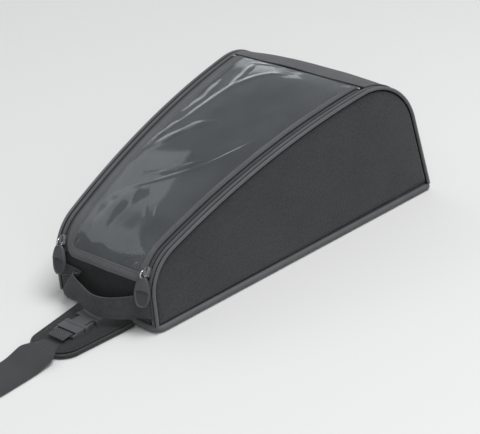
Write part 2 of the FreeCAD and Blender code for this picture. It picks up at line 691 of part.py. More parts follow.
def make_prong(side, name):
    """A springy arm of the male half, with the pad that a finger squeezes at its tip."""
    body = new_body("buckle_prong_" + name, FreeCAD.Placement(V(0, 0, BAR_Z), FreeCAD.Rotation()))
    plan = sketch_on(body, "XY_Plane", "prong_plan_" + name)
    root = FEMALE_END - GAP + 0.6
    inner, outer = PRONG_X - PRONG_WIDE / 2, PRONG_X + PRONG_WIDE / 2
    shape = [(inner, root), (outer - 1, root), (outer - 1, root + 5), (outer + 1.6, root + 8),
             (outer + 1.6, root + 14), (outer, root + PRONG_LONG), (inner + 1, root + PRONG_LONG)]
    radii = [0.6, 0.6, 2, 1.5, 2, 0.8, 0.8]
    if side < 0:
        shape = [(-x, y) for x, y in shape]
    add_loop(plan, shape, radii)
    pad(body, plan, "prong_pad_" + name, "Dimensions.buckle_thick - 3.8", midplane=True)


PANEL_THICK = 1.4             # the wide strap that lies under the seat
PANEL_START = MALE_BAR_Y - 19
PANEL_FLARE = 24.0            # length over which it widens from the webbing to full width


def make_seat_strap():
    """Webbing looped round the male half's bar, then the wide strap that goes under the seat."""
    join_y = TAIL_Y - dim("tongue_long") - 4
    web_loop("seat_webbing", join_y, MALE_BAR_Y, BAR_Z, MALE_BAR_Y - 13)
    half, far_y = dim("seat_strap_wide") / 2, PANEL_START - dim("seat_strap_long")
    webbing_top = BAR_Z - LOOP_RADIUS + dim("webbing_thick") / 2
    level = webbing_top + 0.05 + PANEL_THICK / 2
    lying = PANEL_THICK / 2 + 0.3
    profile = [(PANEL_START, level), (join_y - 4, level), (join_y - 22, lying), (far_y, lying)]
    strap = extruded_ribbon(profile, [0, 14, 14, 0], 2 * half, PANEL_THICK)
    narrow, flare_y = dim("webbing_wide") / 2, PANEL_START + 1 - PANEL_FLARE
    plan = prism([(-narrow, PANEL_START + 1), (narrow, PANEL_START + 1), (half, flare_y), (half, far_y - 1),
                  (-half, far_y - 1), (-half, flare_y)], BELOW, TALL)
    shape_part("seat_strap", strap.common(plan))


# ---------------------------------------------------------------- front anchor
def make_front_anchor():
    """Webbing from the base's front edge to a ladder lock for the steering head strap."""
    root = FRONT_Y + dim("base_overhang") + ROOT_GAP
    bar_y = root + dim("front_web_long")
    bar_z = LOOP_RADIUS + dim("webbing_thick") / 2 + 0.1
    web_loop("front_webbing", root, bar_y, bar_z, root + 26)
    body = new_body("front_ladder_lock", FreeCAD.Placement(V(0, bar_y, bar_z), FreeCAD.Rotation()))
    wide, long = dim("lock_wide") / 2, dim("lock_long")
    bar, end_bar = 1.4, 5.4
    plan = sketch_on(body, "XY_Plane", "lock_plan")
    add_loop(plan, rectangle((-wide, -bar), (wide, long - bar)), [1.2, 1.2, 4, 4])
    inner = wide - SHELL
    for low, high in ((bar, LOOP_SLOT), (LOOP_SLOT + 3.4, long - end_bar)):
        add_loop(plan, list(reversed(rectangle((-inner, low), (inner, high)))))
    pad(body, plan, "lock_pad", "Dimensions.lock_thick", midplane=True)


def check_and_write():
    doc.recompute()
    failed = [o.Name for o in doc.Objects if {"Invalid", "Error"} & set(o.State)]
    if failed:
        raise RuntimeError("failed features: %s" % failed)
    for item in sub_parts:
        shape = item.Shape
        if shape.isNull() or not shape.isValid() or shape.Volume <= 0:
            raise RuntimeError("bad shape: " + item.Label)
    for item in sub_parts:
        box = item.Shape.BoundBox
        print("%-22s solids %d volume %9.1f  x %7.1f %7.1f  y %7.1f %7.1f  z %6.1f %6.1f" % (
            item.Label, len(item.Shape.Solids), item.Shape.Volume,
            box.XMin, box.XMax, box.YMin, box.YMax, box.ZMin, box.ZMax))
        item.Shape.exportStep("parts/%s.step" % item.Label)


make_base()
for side_sign, side_name in SIDES:
    make_side(side_sign, side_name)
    make_slider(side_sign, side_name)
    make_prong(side_sign, side_name)
make_sheets()
make_zip_stops()
make_handle()
make_tongue()
make_tail_webbing()
make_female()
make_male()
make_seat_strap()
make_front_anchor()
check_and_write()
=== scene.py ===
import json
import math

import bmesh
import bpy
import numpy as np
from mathutils import Matrix, Vector, noise


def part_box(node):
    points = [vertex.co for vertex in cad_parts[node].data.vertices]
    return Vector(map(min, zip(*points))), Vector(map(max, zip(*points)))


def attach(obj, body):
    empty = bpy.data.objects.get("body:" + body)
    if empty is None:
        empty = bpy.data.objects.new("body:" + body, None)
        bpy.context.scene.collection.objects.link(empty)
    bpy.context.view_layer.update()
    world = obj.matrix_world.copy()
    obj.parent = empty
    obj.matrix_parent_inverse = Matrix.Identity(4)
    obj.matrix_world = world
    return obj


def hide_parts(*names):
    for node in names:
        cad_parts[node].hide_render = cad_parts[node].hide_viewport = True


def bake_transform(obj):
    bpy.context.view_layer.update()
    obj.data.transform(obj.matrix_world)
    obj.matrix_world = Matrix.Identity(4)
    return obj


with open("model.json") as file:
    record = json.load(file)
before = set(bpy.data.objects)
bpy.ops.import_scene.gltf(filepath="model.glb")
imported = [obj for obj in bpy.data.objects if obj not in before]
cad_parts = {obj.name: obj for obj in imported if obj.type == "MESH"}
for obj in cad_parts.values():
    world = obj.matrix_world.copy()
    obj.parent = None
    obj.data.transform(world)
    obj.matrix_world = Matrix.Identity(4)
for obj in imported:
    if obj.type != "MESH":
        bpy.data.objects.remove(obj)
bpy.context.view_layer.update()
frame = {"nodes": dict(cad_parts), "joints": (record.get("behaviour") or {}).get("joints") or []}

# The looks of a motorcycle tank bag. Sizes are in millimetres unless a name says otherwise; meshes
# are turned to metres when they are made. +Y is towards the handlebars, +X the rider's right.
MM = 0.001


# ---- sizes taken from the frame
def node_box(node):
    """A CAD node's lowest and highest corner, in millimetres."""
    low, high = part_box(node)
    return np.array(low) / MM, np.array(high) / MM


# places that the CAD nodes give
BASE_TOP = node_box("base_pad")[1][2]
REAR_Y = node_box("gusset_right")[0][1]
FRONT_Y = node_box("gusset_right")[1][1]
LIP_Z = node_box("lid_panel")[0][2]
HINGE_Y = node_box("lid_panel")[1][1]
# the bag's plan and its side outline: three arcs between two straight walls
REAR_WIDTH, FRONT_WIDTH = 148.0, 230.0
REAR_CENTRE, REAR_ROUND = (-160.5, 42.7), 52.0
FRONT_CENTRE, FRONT_ROUND = (117.0, 85.5), 76.0
TOP_ROUND = 1000.0
WALL_STEPS = 60
# insets are measured from the side faces, offsets outwards from the side outline
PIPING_RADIUS, PIPING_OFFSET, PIPING_INSET = 1.9, -0.5, -0.5
GUSSET_INSETS = (2.3, 8.5)
ZIP_INSET, ZIP_WIDE, ZIP_SET = 11.3, 4.6, -1.0
LID_INSET = 14.0
LINING_INSET = 8.4
HEM_LEFT, HEM_REAR, HEM_RIGHT = 13.0, 10.0, 6.5
LID_ROUND_LEFT, LID_ROUND_RIGHT = 16.0, 9.0
CROWN = 4.5


def half_width(y):
    """Half the bag's outside width at a place along its length."""
    share = (y - REAR_Y) / (FRONT_Y - REAR_Y)
    return (REAR_WIDTH + (FRONT_WIDTH - REAR_WIDTH) * share) / 2


# ---- the side outline
def tangent_centre():
    """Centre of the long top arc, which touches the rear and front corner arcs from inside."""
    to_rear, to_front = TOP_ROUND - REAR_ROUND, TOP_ROUND - FRONT_ROUND
    dy, dz = FRONT_CENTRE[0] - REAR_CENTRE[0], FRONT_CENTRE[1] - REAR_CENTRE[1]
    span = math.hypot(dy, dz)
    along = (to_rear ** 2 - to_front ** 2 + span ** 2) / (2 * span)
    below = math.sqrt(to_rear ** 2 - along ** 2)
    return (REAR_CENTRE[0] + (dy * along + dz * below) / span,
            REAR_CENTRE[1] + (dz * along - dy * below) / span)


def make_outline():
    """The outline from the rear foot over the top to the front foot: length, y, z and facing angle."""
    top = tangent_centre()
    rear_turn = math.atan2(REAR_CENTRE[1] - top[1], REAR_CENTRE[0] - top[0])
    front_turn = math.atan2(FRONT_CENTRE[1] - top[1], FRONT_CENTRE[0] - top[0])
    dy, dz = FRONT_Y - FRONT_CENTRE[0], BASE_TOP - FRONT_CENTRE[1]
    front_face = math.atan2(dz, dy) + math.acos(FRONT_ROUND / math.hypot(dy, dz))
    pieces = [[(REAR_Y, z, math.pi) for z in np.linspace(BASE_TOP, REAR_CENTRE[1], WALL_STEPS)]]
    for centre, radius, first, last, count in (
            (REAR_CENTRE, REAR_ROUND, math.pi, rear_turn, 160),
            (top, TOP_ROUND, rear_turn, front_turn, 600),
            (FRONT_CENTRE, FRONT_ROUND, front_turn, front_face, 260)):
        pieces.append([(centre[0] + radius * math.cos(a), centre[1] + radius * math.sin(a), a)
                       for a in np.linspace(first, last, count)])
    knee = pieces[-1][-1]
    pieces.append([(knee[0] + (FRONT_Y - knee[0]) * t, knee[1] + (BASE_TOP - knee[1]) * t, front_face)
                   for t in np.linspace(0, 1, 120)])
    table = np.array([p for piece in pieces for p in piece[:-1]] + [pieces[-1][-1]])
    steps = np.hypot(*np.diff(table[:, :2], axis=0).T)
    return np.concatenate([[0], np.cumsum(steps)]), table[:, 0], table[:, 1], table[:, 2]


LINE_S, LINE_Y, LINE_Z, LINE_FACING = make_outline()
S_END = LINE_S[-1]
PEAK = int(np.argmax(LINE_Z))
S_LIP = float(np.interp(LIP_Z, LINE_Z[:PEAK], LINE_S[:PEAK]))


def s_at_y(y):
    """Length along the outline where its top passes over y."""
    return float(np.interp(y, LINE_Y[WALL_STEPS:], LINE_S[WALL_STEPS:]))


S_HINGE = s_at_y(HINGE_Y)


def outline_at(s):
    """Place and facing angle of the outline at a length along it."""
    return np.interp(s, LINE_S, LINE_Y), np.interp(s, LINE_S, LINE_Z), np.interp(s, LINE_S, LINE_FACING)


def beside(*parts):
    """Numbers side by side in a new last axis, each as often as the largest of them needs."""
    return np.stack(np.broadcast_arrays(*parts), axis=-1)


def bag_point(x, s, offset):
    """A place on the outline carried across the bag, raised from it by offset."""
    y, z, facing = outline_at(s)
    return beside(x, y + offset * np.cos(facing), z + offset * np.sin(facing))


def bag_normal(s):
    """The direction that the outline faces at a length along it."""
    facing = outline_at(s)[2]
    return beside(0.0, np.cos(facing), np.sin(facing))


def ease(share):
    """Goes smoothly from 0 to 1 as its share does."""
    share = np.clip(share, 0, 1)
    return share * share * (3 - 2 * share)


def crown_height(s):
    """How far the middle stands above the zips: most along the top, little on the walls."""
    rise = ease((s - S_LIP + 20) / 90)
    fall = ease((S_END - 20 - s) / 140)
    pulled_flat = 1 - 0.9 * np.exp(-((s - S_HINGE) / 18) ** 2)
    return CROWN * rise * fall * pulled_flat


def lid_half(s):
    """Half the lid's width between the zips at a length along the outline."""
    return half_width(outline_at(s)[0]) - LID_INSET


def lid_share(x, s):
    """How far a place is from the lid's middle: 0 there and 1 at the zips."""
    return np.clip(np.abs(x) / lid_half(s), 0, 1)


def lid_point(x, s, offset):
    """A place on the crowned top between the zips."""
    return bag_point(x, s, offset + crown_height(s) * (1 - lid_share(x, s) ** 2))


# ---- mesh building
def lengths(points):
    """Distance along a row of points, starting at nought."""
    steps = np.linalg.norm(np.diff(points, axis=0), axis=-1)
    return np.concatenate([[0], np.cumsum(steps)])


def unit(vectors):
    """The same directions, each one long."""
    return vectors / np.maximum(np.linalg.norm(vectors, axis=-1, keepdims=True), 1e-9)


class Builder:
    """Collects the skins of one piece, with a flat map of each in metres for its weave."""

    def __init__(self):
        self.points, self.quads, self.flats = [], [], []
        self.total = 0

    def loft(self, rings):
        """A skin over closed rings of points, closed by a cap at each end."""
        rings = np.asarray(rings, float)
        count, size = rings.shape[:2]
        index = self.total + np.arange(count * size).reshape(count, size)
        along = lengths(rings[:, 0])
        ends = np.concatenate([rings, rings[:, :1]], axis=1)
        steps = np.linalg.norm(np.diff(ends, axis=1), axis=-1)
        around = np.concatenate([np.zeros((count, 1)), np.cumsum(steps, axis=1)], axis=1)
        following = np.roll(index, -1, axis=1)
        quads = beside(index[:-1], following[:-1], following[1:], index[1:]).reshape(-1, 4)
        u = np.repeat(along[:, None], size + 1, axis=1)
        flat = beside(u, around)
        corners = np.stack([flat[:-1, :-1], flat[:-1, 1:], flat[1:, 1:], flat[1:, :-1]], axis=2)
        self.quads.append(quads)
        self.flats.append(corners.reshape(-1, 4, 2))
        for ring in (index[0], index[-1]):
            half = size // 2
            front, back = ring[:half], ring[::-1][:half]
            cap = beside(front[:-1], front[1:], back[1:], back[:-1])
            spots = beside(np.arange(half - 1), np.arange(half - 1))[:, None, :] * 0.5
            self.quads.append(cap)
            self.flats.append(np.repeat(spots, 4, axis=1))
        self.points.append(rings.reshape(-1, 3))
        self.total += count * size
        return self

    def shell(self, top, thick):
        """A sheet of cloth: the grid of its outer face, with thick of cloth under it."""
        top = np.asarray(top, float)
        normal = unit(np.cross(np.gradient(top, axis=0), np.gradient(top, axis=1)))
        under = top - normal * thick
        return self.loft(np.concatenate([top, under[:, ::-1]], axis=1))

    def mesh(self, name):
        """The finished mesh, in metres, with its faces turned outwards."""
        mesh = bpy.data.meshes.new(name)
        points = np.concatenate(self.points) * MM
        quads = np.concatenate(self.quads)
        flats = np.concatenate(self.flats) * MM
        mesh.from_pydata(points.tolist(), [], quads.tolist())
        layer = mesh.uv_layers.new(name="cloth")
        layer.data.foreach_set("uv", flats.reshape(-1))
        work = bmesh.new()
        work.from_mesh(mesh)
        bmesh.ops.recalc_face_normals(work, faces=work.faces)
        work.to_mesh(mesh)
        work.free()
        return mesh


def new_object(name, data):
    """An object for a mesh, a light or the camera, put in the scene."""
    thing = bpy.data.objects.new(name, data)
    bpy.context.scene.collection.objects.link(thing)
    return thing


def piece(name, mesh, body, material, replaced=(), sharp=50, bend=None):
    """Puts a finished mesh in the scene on its body. bend is (start, end) where cloth crosses a joint; given
    a bend, the mesh is fixed in place on no body, and its start and end are not used.
    """
    if isinstance(mesh, Builder):
        mesh = mesh.mesh(name)
    mesh.shade_smooth()
    mesh.set_sharp_from_angle(angle=math.radians(sharp))
    thing = new_object(name, mesh)
    dress(mesh, material)
    if bend is None:
        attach(thing, body)
    else:
        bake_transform(thing)
    if replaced:
        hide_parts(*replaced)
    return thing


def dress(mesh, material):
    """Gives a mesh one material in place of any it had."""
    mesh.materials.clear()
    mesh.materials.append(MATERIALS[material])


def sweep(path, up, section):
    """Rings of a section carried along a path; a section point is (sideways, raised)."""
    path, up, section = np.asarray(path, float), np.asarray(up, float), np.asarray(section, float)
    ahead = np.gradient(path, axis=0)
    side = unit(np.cross(ahead, np.broadcast_to(up, path.shape)))
    raised = unit(np.cross(side, ahead))
    if section.ndim == 2:
        section = np.broadcast_to(section, (len(path),) + section.shape)
    return path[:, None] + side[:, None] * section[..., :1] + raised[:, None] * section[..., 1:]


def round_section(radius, count):
    turn = np.arange(count) * 2 * math.pi / count
    return beside(radius * np.cos(turn), radius * np.sin(turn))


def tape_section(wide, thick, crown=0.0, count=9):
    """A flat strip with rounded edges: its top from side to side, then back underneath."""
    t = np.linspace(-1, 1, count)
    edge = thick / 2 * np.sqrt(np.clip(1 - np.abs(t) ** 8, 0, 1))
    middle = thick / 2 + crown * (1 - t ** 2)
    top = beside(t * wide / 2, middle + edge)
    under = beside(t * wide / 2, middle - edge)
    top[0], top[-1] = top[0] + [0, 0.02], top[-1] + [0, 0.02]
    return np.concatenate([top, under[::-1]])


def smooth_path(points, count):
    """A smooth line of count points through a few given ones (Catmull-Rom)."""
    p = np.asarray(points, float)
    p = np.concatenate([[2 * p[0] - p[1]], p, [2 * p[-1] - p[-2]]])
    place = np.linspace(0, len(p) - 3, count)
    span = np.minimum(place.astype(int), len(p) - 4)
    t = (place - span)[:, None]
    a, b, c, d = p[span], p[span + 1], p[span + 2], p[span + 3]
    bend, twist = 2 * a - 5 * b + 4 * c - d, 3 * b - a - 3 * c + d
    return 0.5 * (2 * b + (c - a) * t + bend * t ** 2 + twist * t ** 3)


def at_lengths(points, run, place):
    """A row of points read at some lengths along it; run is each point's own length."""
    return beside(*(np.interp(place, run, column) for column in points.T))


def even(points, pitch):
    """The same line with its points evenly spaced."""
    run = lengths(points)
    count = max(2, int(round(run[-1] / pitch)) + 1)
    return at_lengths(points, run, np.linspace(0, run[-1], count))


def add_stitches(builder, path, up, pitch=3.4, long=2.5, radius=0.32):
    """A row of thread stitches that dips into the cloth between them."""
    run = lengths(path)
    for start in np.arange(pitch / 2, run[-1] - long, pitch):
        place = start + np.linspace(0, long, 5)
        lift = at_lengths(up, run, place)
        arch = radius * np.array([-1.1, 0.35, 0.6, 0.35, -1.1])
        spots = at_lengths(path, run, place) + lift * arch[:, None]
        builder.loft(sweep(spots, lift, round_section(radius, 6)))


def wobble(points, size, height, seed):
    """A gentle unevenness of cloth, the same each time, for a row or grid of points."""
    flat = points.reshape(-1, 3)
    shift = Vector((seed, seed * 0.7, -seed))
    values = [noise.noise(Vector(p) / size + shift) for p in flat]
    return height * np.array(values).reshape(points.shape[:-1])


def uneven(grid, s, size, height, seed):
    """A grid over the outline with a gentle unevenness in the direction it faces."""
    return grid + bag_normal(s)[:, None] * wobble(grid, size, height, seed)[..., None]


# ---- materials
MATERIALS = {}


class Recipe:
    """One material's nodes, written as short sums. Its material goes into MATERIALS under its name."""

    def __init__(self, name):
        self.material = bpy.data.materials.new(name)
        self.material.use_nodes = True
        MATERIALS[name] = self.material
        self.tree = self.material.node_tree
        self.tree.nodes.clear()
        self.output = self.add("OutputMaterial")
        self.shader = self.add("BsdfPrincipled")
        self.join(self.shader.outputs[0], self.output.inputs["Surface"])
        self.cloth = self.add("UVMap").outputs["UV"]
        self.place = self.add("TexCoord").outputs["Object"]

    def add(self, kind, **settings):
        node = self.tree.nodes.new("ShaderNode" + kind)
        for key, value in settings.items():
            setattr(node, key, value)
        return node

    def join(self, source, target):
        self.tree.links.new(source, target)

    def put(self, value, socket):
        """Sets a socket to a number or joins it to another socket."""
        if isinstance(value, bpy.types.NodeSocket):
            self.join(value, socket)
        else:
            socket.default_value = value

    def fill(self, node, values):
        """Fills a node's sockets, each by its name or its place, and gives the node's first output."""
        for key, value in values.items():
            self.put(value, node.inputs[key])
        return node.outputs[0]

    def surface(self, values):
        self.fill(self.shader, values)

    def sum(self, operation, *values):
        return self.fill(self.add("Math", operation=operation), dict(enumerate(values)))

    def range(self, *values):
        """Maps a value from (low, high) to (low, high)."""
        return self.fill(self.add("MapRange"), dict(enumerate(values)))

    def mix(self, share, first, second):
        return self.fill(self.add("MixShader"), {0: share, 1: first, 2: second})

    def noise(self, vector, scale, detail=2.0, rough=0.5):
        return self.fill(self.add("TexNoise"), {"Vector": vector, "Scale": scale, "Detail": detail,
                                                "Roughness": rough})

    def scaled_colour(self, colour, factor):
        node = self.add("VectorMath", operation="SCALE")
        self.surface({"Base Color": self.fill(node, {0: colour, "Scale": factor})})

    def bump(self, height, distance):
        node = self.add("Bump")
        self.surface({"Normal": self.fill(node, {"Strength": 1.0, "Distance": distance, "Height": height})})

    def weave(self, across, along):
        """Height of a plain weave whose threads lie across and along apart, in millimetres."""
        split = self.add("SeparateXYZ")
        self.join(self.cloth, split.inputs[0])
        u = self.sum("SINE", self.sum("MULTIPLY", split.outputs[0], math.pi / (along * MM)))
        v = self.sum("SINE", self.sum("MULTIPLY", split.outputs[1], math.pi / (across * MM)))
        over = self.sum("GREATER_THAN", self.sum("MULTIPLY", u, v), 0.0)
        u, v = self.sum("ABSOLUTE", u), self.sum("ABSOLUTE", v)
        warp = self.sum("MULTIPLY", u, over)
        weft = self.sum("MULTIPLY", v, self.sum("SUBTRACT", 1.0, over))
        return self.sum("ADD", warp, weft)


def cloth(name, colour, pitch=1.0, stretch=1.0, depth=0.25, rough=0.8, speck=0.2):
    """Woven cloth: threads pitch apart, with painted light on their crowns and painted shade between them,
    unevenly worn.
    """
    dust, rough_play = 0.15, 0.08
    recipe = Recipe(name)
    threads = recipe.weave(pitch, pitch * stretch)
    fine = recipe.noise(recipe.cloth, 420 / pitch, 2.0, 0.6)
    broad = recipe.noise(recipe.place, 14.0, 3.0, 0.6)
    # painted light and shade of the weave: the colour rises with thread height
    shade = recipe.range(threads, 0.0, 1.0, 0.72, 1.12)
    shade = recipe.sum("MULTIPLY", shade, recipe.range(fine, 0.3, 0.7, 1 - speck, 1 + speck))
    shade = recipe.sum("MULTIPLY", shade, recipe.range(broad, 0.3, 0.7, 1 - dust, 1 + dust))
    recipe.scaled_colour(colour, shade)
    height = recipe.sum("ADD", threads, recipe.sum("MULTIPLY", fine, 0.5))
    recipe.bump(height, depth * MM)
    roughness = recipe.range(fine, 0.2, 0.8, rough - rough_play, min(1.0, rough + rough_play))
    recipe.surface({"Roughness": roughness, "Specular IOR Level": 0.22,
                    "Sheen Weight": 0.14, "Sheen Roughness": 0.5})


def plain(name, colour, rough=0.5, metal=0.0, grain=900.0, depth=0.03, specular=0.5):
    """Moulded, painted or drawn material with a fine grain and uneven wear."""
    blotch = 0.12
    recipe = Recipe(name)
    fine = recipe.noise(recipe.place, grain, 2.0)
    broad = recipe.noise(recipe.place, 60.0, 3.0, 0.6)
    shade = recipe.range(broad, 0.3, 0.7, 1 - blotch, 1 + blotch)
    recipe.scaled_colour(colour, shade)
    recipe.bump(fine, depth * MM)
    roughness = recipe.range(broad, 0.3, 0.7, rough - 0.06, rough + 0.08)
    recipe.surface({"Roughness": roughness, "Metallic": metal, "Specular IOR Level": specular})


def film(name):
    """Clear soft vinyl: seen through, with a glossy skin and a trace of dust."""
    straight_on, at_grazing, least_dust, most_dust = 0.035, 0.9, 0.018, 0.045
    recipe = Recipe(name)
    recipe.surface({"Base Color": (0.93, 0.96, 0.98, 1), "Metallic": 1.0, "Roughness": 0.09})
    clear = recipe.fill(recipe.add("BsdfTransparent"), {0: (0.93, 0.95, 0.95, 1)})
    slant = recipe.add("LayerWeight").outputs["Facing"]
    grazing = recipe.sum("MULTIPLY", recipe.sum("POWER", slant, 5.0), at_grazing)
    mirrored = recipe.mix(recipe.sum("ADD", grazing, straight_on), clear, recipe.shader.outputs[0])
    dust = recipe.fill(recipe.add("BsdfDiffuse"), {0: (0.5, 0.52, 0.53, 1)})
    patches = recipe.noise(recipe.place, 11.0, 4.0, 0.6)
    dusty = recipe.mix(recipe.range(patches, 0.4, 0.7, least_dust, most_dust), mirrored, dust)
    recipe.join(dusty, recipe.output.inputs["Surface"])


cloth("ballistic_nylon", (0.027, 0.0285, 0.031), pitch=1.5, depth=0.35, speck=0.32)
cloth("plain_nylon", (0.070, 0.074, 0.078), pitch=0.9, depth=0.2, rough=0.7, speck=0.14)
cloth("dark_nylon", (0.022, 0.0235, 0.025), pitch=0.9, depth=0.2)
cloth("lid_nylon", (0.013, 0.014, 0.015), pitch=1.2, depth=0.15, speck=0.1)
cloth("lining", (0.075, 0.077, 0.080), pitch=0.6, depth=0.08, speck=0.06, rough=0.65)
cloth("binding", (0.078, 0.082, 0.087), pitch=1.1, stretch=0.6, depth=0.25, speck=0.15)
cloth("piping", (0.092, 0.097, 0.102), pitch=0.7, depth=0.12, rough=0.6, speck=0.1)
plain("zip_coil", (0.060, 0.063, 0.066), rough=0.42, depth=0.05)
# near-black: painted shadow for the strips laid in the seam grooves
plain("seam_shadow", (0.006, 0.006, 0.006), rough=0.95, depth=0.02, specular=0.1)
cloth("webbing", (0.040, 0.042, 0.045), pitch=2.2, stretch=0.6, depth=0.6, speck=0.2)
# darker than the cloth's own colour: painted shade for the flap, which lies in shadow
cloth("padded_nylon", (0.011, 0.0118, 0.0125), pitch=0.9, depth=0.2, speck=0.15)
# a darker copy of the hem's binding cloth: painted shade for the flap's edge in shadow
cloth("flap_edge_painted_shade", (0.018, 0.019, 0.0205), pitch=1.1, stretch=0.6, depth=0.25, speck=0.15)
cloth("strap_nylon", (0.030, 0.032, 0.034), pitch=0.9, depth=0.25, speck=0.2)
plain("thread", (0.085, 0.088, 0.092), rough=0.7, depth=0.02)
plain("grip_base", (0.070, 0.073, 0.077), rough=0.62, grain=500.0, depth=0.12)
plain("foam", (0.16, 0.16, 0.17), rough=0.95, grain=1400.0, depth=0.25)
plain("board", (0.05, 0.05, 0.052), rough=0.55)
film("clear_film")
plain("slider_metal", (0.26, 0.265, 0.27), rough=0.36, metal=0.8, depth=0.01)
plain("ring_steel", (0.62, 0.62, 0.62), rough=0.24, metal=1.0, depth=0.005)
plain("pull_rubber", (0.050, 0.053, 0.056), rough=0.55, grain=1300.0, depth=0.05)
# darker than the pull's rubber: partly the inlay's own tone, partly painted shade of the pull's recessed dish
plain("pull_inlay", (0.034, 0.036, 0.038), rough=0.7, grain=700.0, depth=0.15)
plain("buckle_plastic", (0.060, 0.063, 0.067), rough=0.44, grain=1500.0, depth=0.02)
SIDES = ((-1, "left"), (1, "right"))


# ---- side walls
def spaced(count, ends=0.5):
    """Numbers from 0 to 1, closer together towards both ends."""
    even_steps = np.linspace(0, 1, count)
    return (1 - ends) * even_steps + ends * (0.5 - 0.5 * np.cos(math.pi * even_steps))


def top_height(y):
    """Height of the outline's top over a place along the bag."""
    return np.interp(y, LINE_Y[WALL_STEPS:], LINE_Z[WALL_STEPS:])


def line_distance(spots, line):
    """How far each spot is from a line of points, and how far along the line its nearest place lies."""
    far, along = np.full(spots.shape[:-1], np.inf), np.zeros(spots.shape[:-1])
    for k, (a, b) in enumerate(zip(line[:-1], line[1:])):
        run = b - a
        share = np.clip(((spots - a) @ run) / max(run @ run, 1e-9), 0, 1)
        gap = np.linalg.norm(spots - a - share[..., None] * run, axis=-1)
        along = np.where(gap < far, (k + share) / (len(line) - 1), along)
        far = np.minimum(far, gap)
    return far, along


def edge_distance(y, z):
    """How far a place on the side wall is from the wall's edge; every fourth point of it is enough."""
    edge = beside(np.append(LINE_Y, LINE_Y[0]), np.append(LINE_Z, LINE_Z[0]))
    coarse = np.concatenate([edge[:-1:4], edge[-1:]])
    return line_distance(beside(y, z), coarse)[0]


def side_grid(side, inset, swell, roll, roll_wide, columns=150, rows=70, edge=0.3):
    """A grid over one side wall: rolled down at its edge and swollen towards its middle."""
    fade = 30
    y = REAR_Y + edge + (FRONT_Y - REAR_Y - 2 * edge) * spaced(columns, 0.7)[:, None] * np.ones((1, rows))
    z = BASE_TOP + (top_height(y) - edge - BASE_TOP) * spaced(rows, 0.6)[None, :]
    gap = edge_distance(y, z)
    q = np.clip(gap / roll_wide, 0, 1)
    depth = -roll * (1 - np.sqrt(np.clip(1 - (1 - q) ** 2, 0, 1))) + swell * (1 - np.exp(-gap / fade))
    points = beside(side * (half_width(y) - inset + depth), y, z)
    unevenness = wobble(points, size=55.0, height=0.7, seed=3.0 * side)
    points[..., 0] += side * unevenness * np.clip(gap / fade, 0, 1)
    return points if side > 0 else points[::-1]


def make_sides():
    for side, name in SIDES:
        cover = Builder().shell(side_grid(side, inset=0.0, swell=3.2, roll=3.4, roll_wide=8.0), thick=1.4)
        piece("side_cover_" + name, cover, "bag", "ballistic_nylon", ["side_panel_" + name])
        middle = side_grid(side, inset=3.2, swell=2.2, roll=2.0, roll_wide=6.0, columns=60, rows=30, edge=6.0)
        foam = Builder().shell(middle, thick=3.6)
        piece("side_foam_sheet_" + name, foam, "bag", "foam", ["side_foam_" + name])
        inner = side_grid(-side, inset=0.0, swell=1.6, roll=1.5, roll_wide=9.0, columns=70, rows=36, edge=8.0)
        wall = side * half_width(inner[..., 1])
        inner[..., 0] += 2 * wall - side * LINING_INSET
        lining = Builder().shell(inner, thick=0.8)
        piece("side_lining_cloth_" + name, lining, "bag", "lining", ["side_lining_" + name])


# ---- edge strips, piping and zips
def edge_strip(side, insets, heights, s_values):
    """A grid along one edge of the bag, between insets from the side face."""
    y = outline_at(s_values)[0][:, None]
    x = side * (half_width(y) - np.asarray(insets)[None, :])
    grid = bag_point(x, s_values[:, None], np.asarray(heights)[None, :])
    return grid if side > 0 else grid[:, ::-1]


def edge_line(side, inset, offset, s_values):
    """A line along one edge of the bag, with the direction that the bag faces beside it."""
    y = outline_at(s_values)[0]
    return bag_point(side * (half_width(y) - inset), s_values, offset), bag_normal(s_values)


def make_gussets():
    s = np.linspace(0, S_END, 400)
    across = np.linspace(GUSSET_INSETS[0], GUSSET_INSETS[1], 11)
    t = np.linspace(-1, 1, 11)
    heights = 0.5 - 2.2 * np.abs(t) ** 5 - 0.3 * t ** 2
    for side, name in SIDES:
        grid = uneven(edge_strip(side, across, heights, s), s, size=30.0, height=0.35, seed=5.0)
        strip = Builder().shell(grid, thick=1.2)
        piece("gusset_strip_" + name, strip, "bag", "plain_nylon", ["gusset_" + name])
        cord, up = edge_line(side, PIPING_INSET, PIPING_OFFSET, s)
        piping = Builder().loft(sweep(cord, up, round_section(PIPING_RADIUS, 14)))
        piece("edge_piping_" + name, piping, "bag", "piping", ["piping_" + name])


# inset and offset of each near-black strip that paints the shadow in a seam groove
SEAM_SHADOWS = ((0.2, -3.6), (2.1, -0.4), (8.8, -0.9))
SEAM_SHADOW_RADIUS = 0.75
# inset and offset of each row of stitches
GUSSET_ROWS = ((4.0, 0.45), (6.9, 0.3))


def make_seam_shadows():
    """Near-black strips beside the piping and along the gusset's inner edge: painted shadow in the seam
    grooves.
    """
    s = np.linspace(1, S_END - 1, 400)
    for side, name in SIDES:
        shadow_strips = Builder()
        for inset, offset in SEAM_SHADOWS:
            line, up = edge_line(side, inset, offset, s)
            shadow_strips.loft(sweep(line, up, round_section(SEAM_SHADOW_RADIUS, 8)))
        piece("painted_seam_shadows_" + name, shadow_strips, "bag", "seam_shadow")


def coil_rings(side, inset, wide, s_start, s_end, pitch, shift):
    """One row of zip coil: a ridge whose height and width rise at every turn of the coil."""
    per_turn = 5
    line, up = edge_line(side, inset, ZIP_SET, np.linspace(s_start, s_end, 300))
    joined = even(np.concatenate([line, up], axis=1), pitch / per_turn)
    turn = np.cos((np.arange(len(joined)) / per_turn + shift) * 2 * math.pi)
    swell = 0.72 + 0.28 * turn
    ring = round_section(1.0, 8)
    section = ring[None] * beside(wide / 2 * (0.8 + 0.2 * turn), 1.05 * swell)[:, None]
    return sweep(joined[:, :3], joined[:, 3:], section)


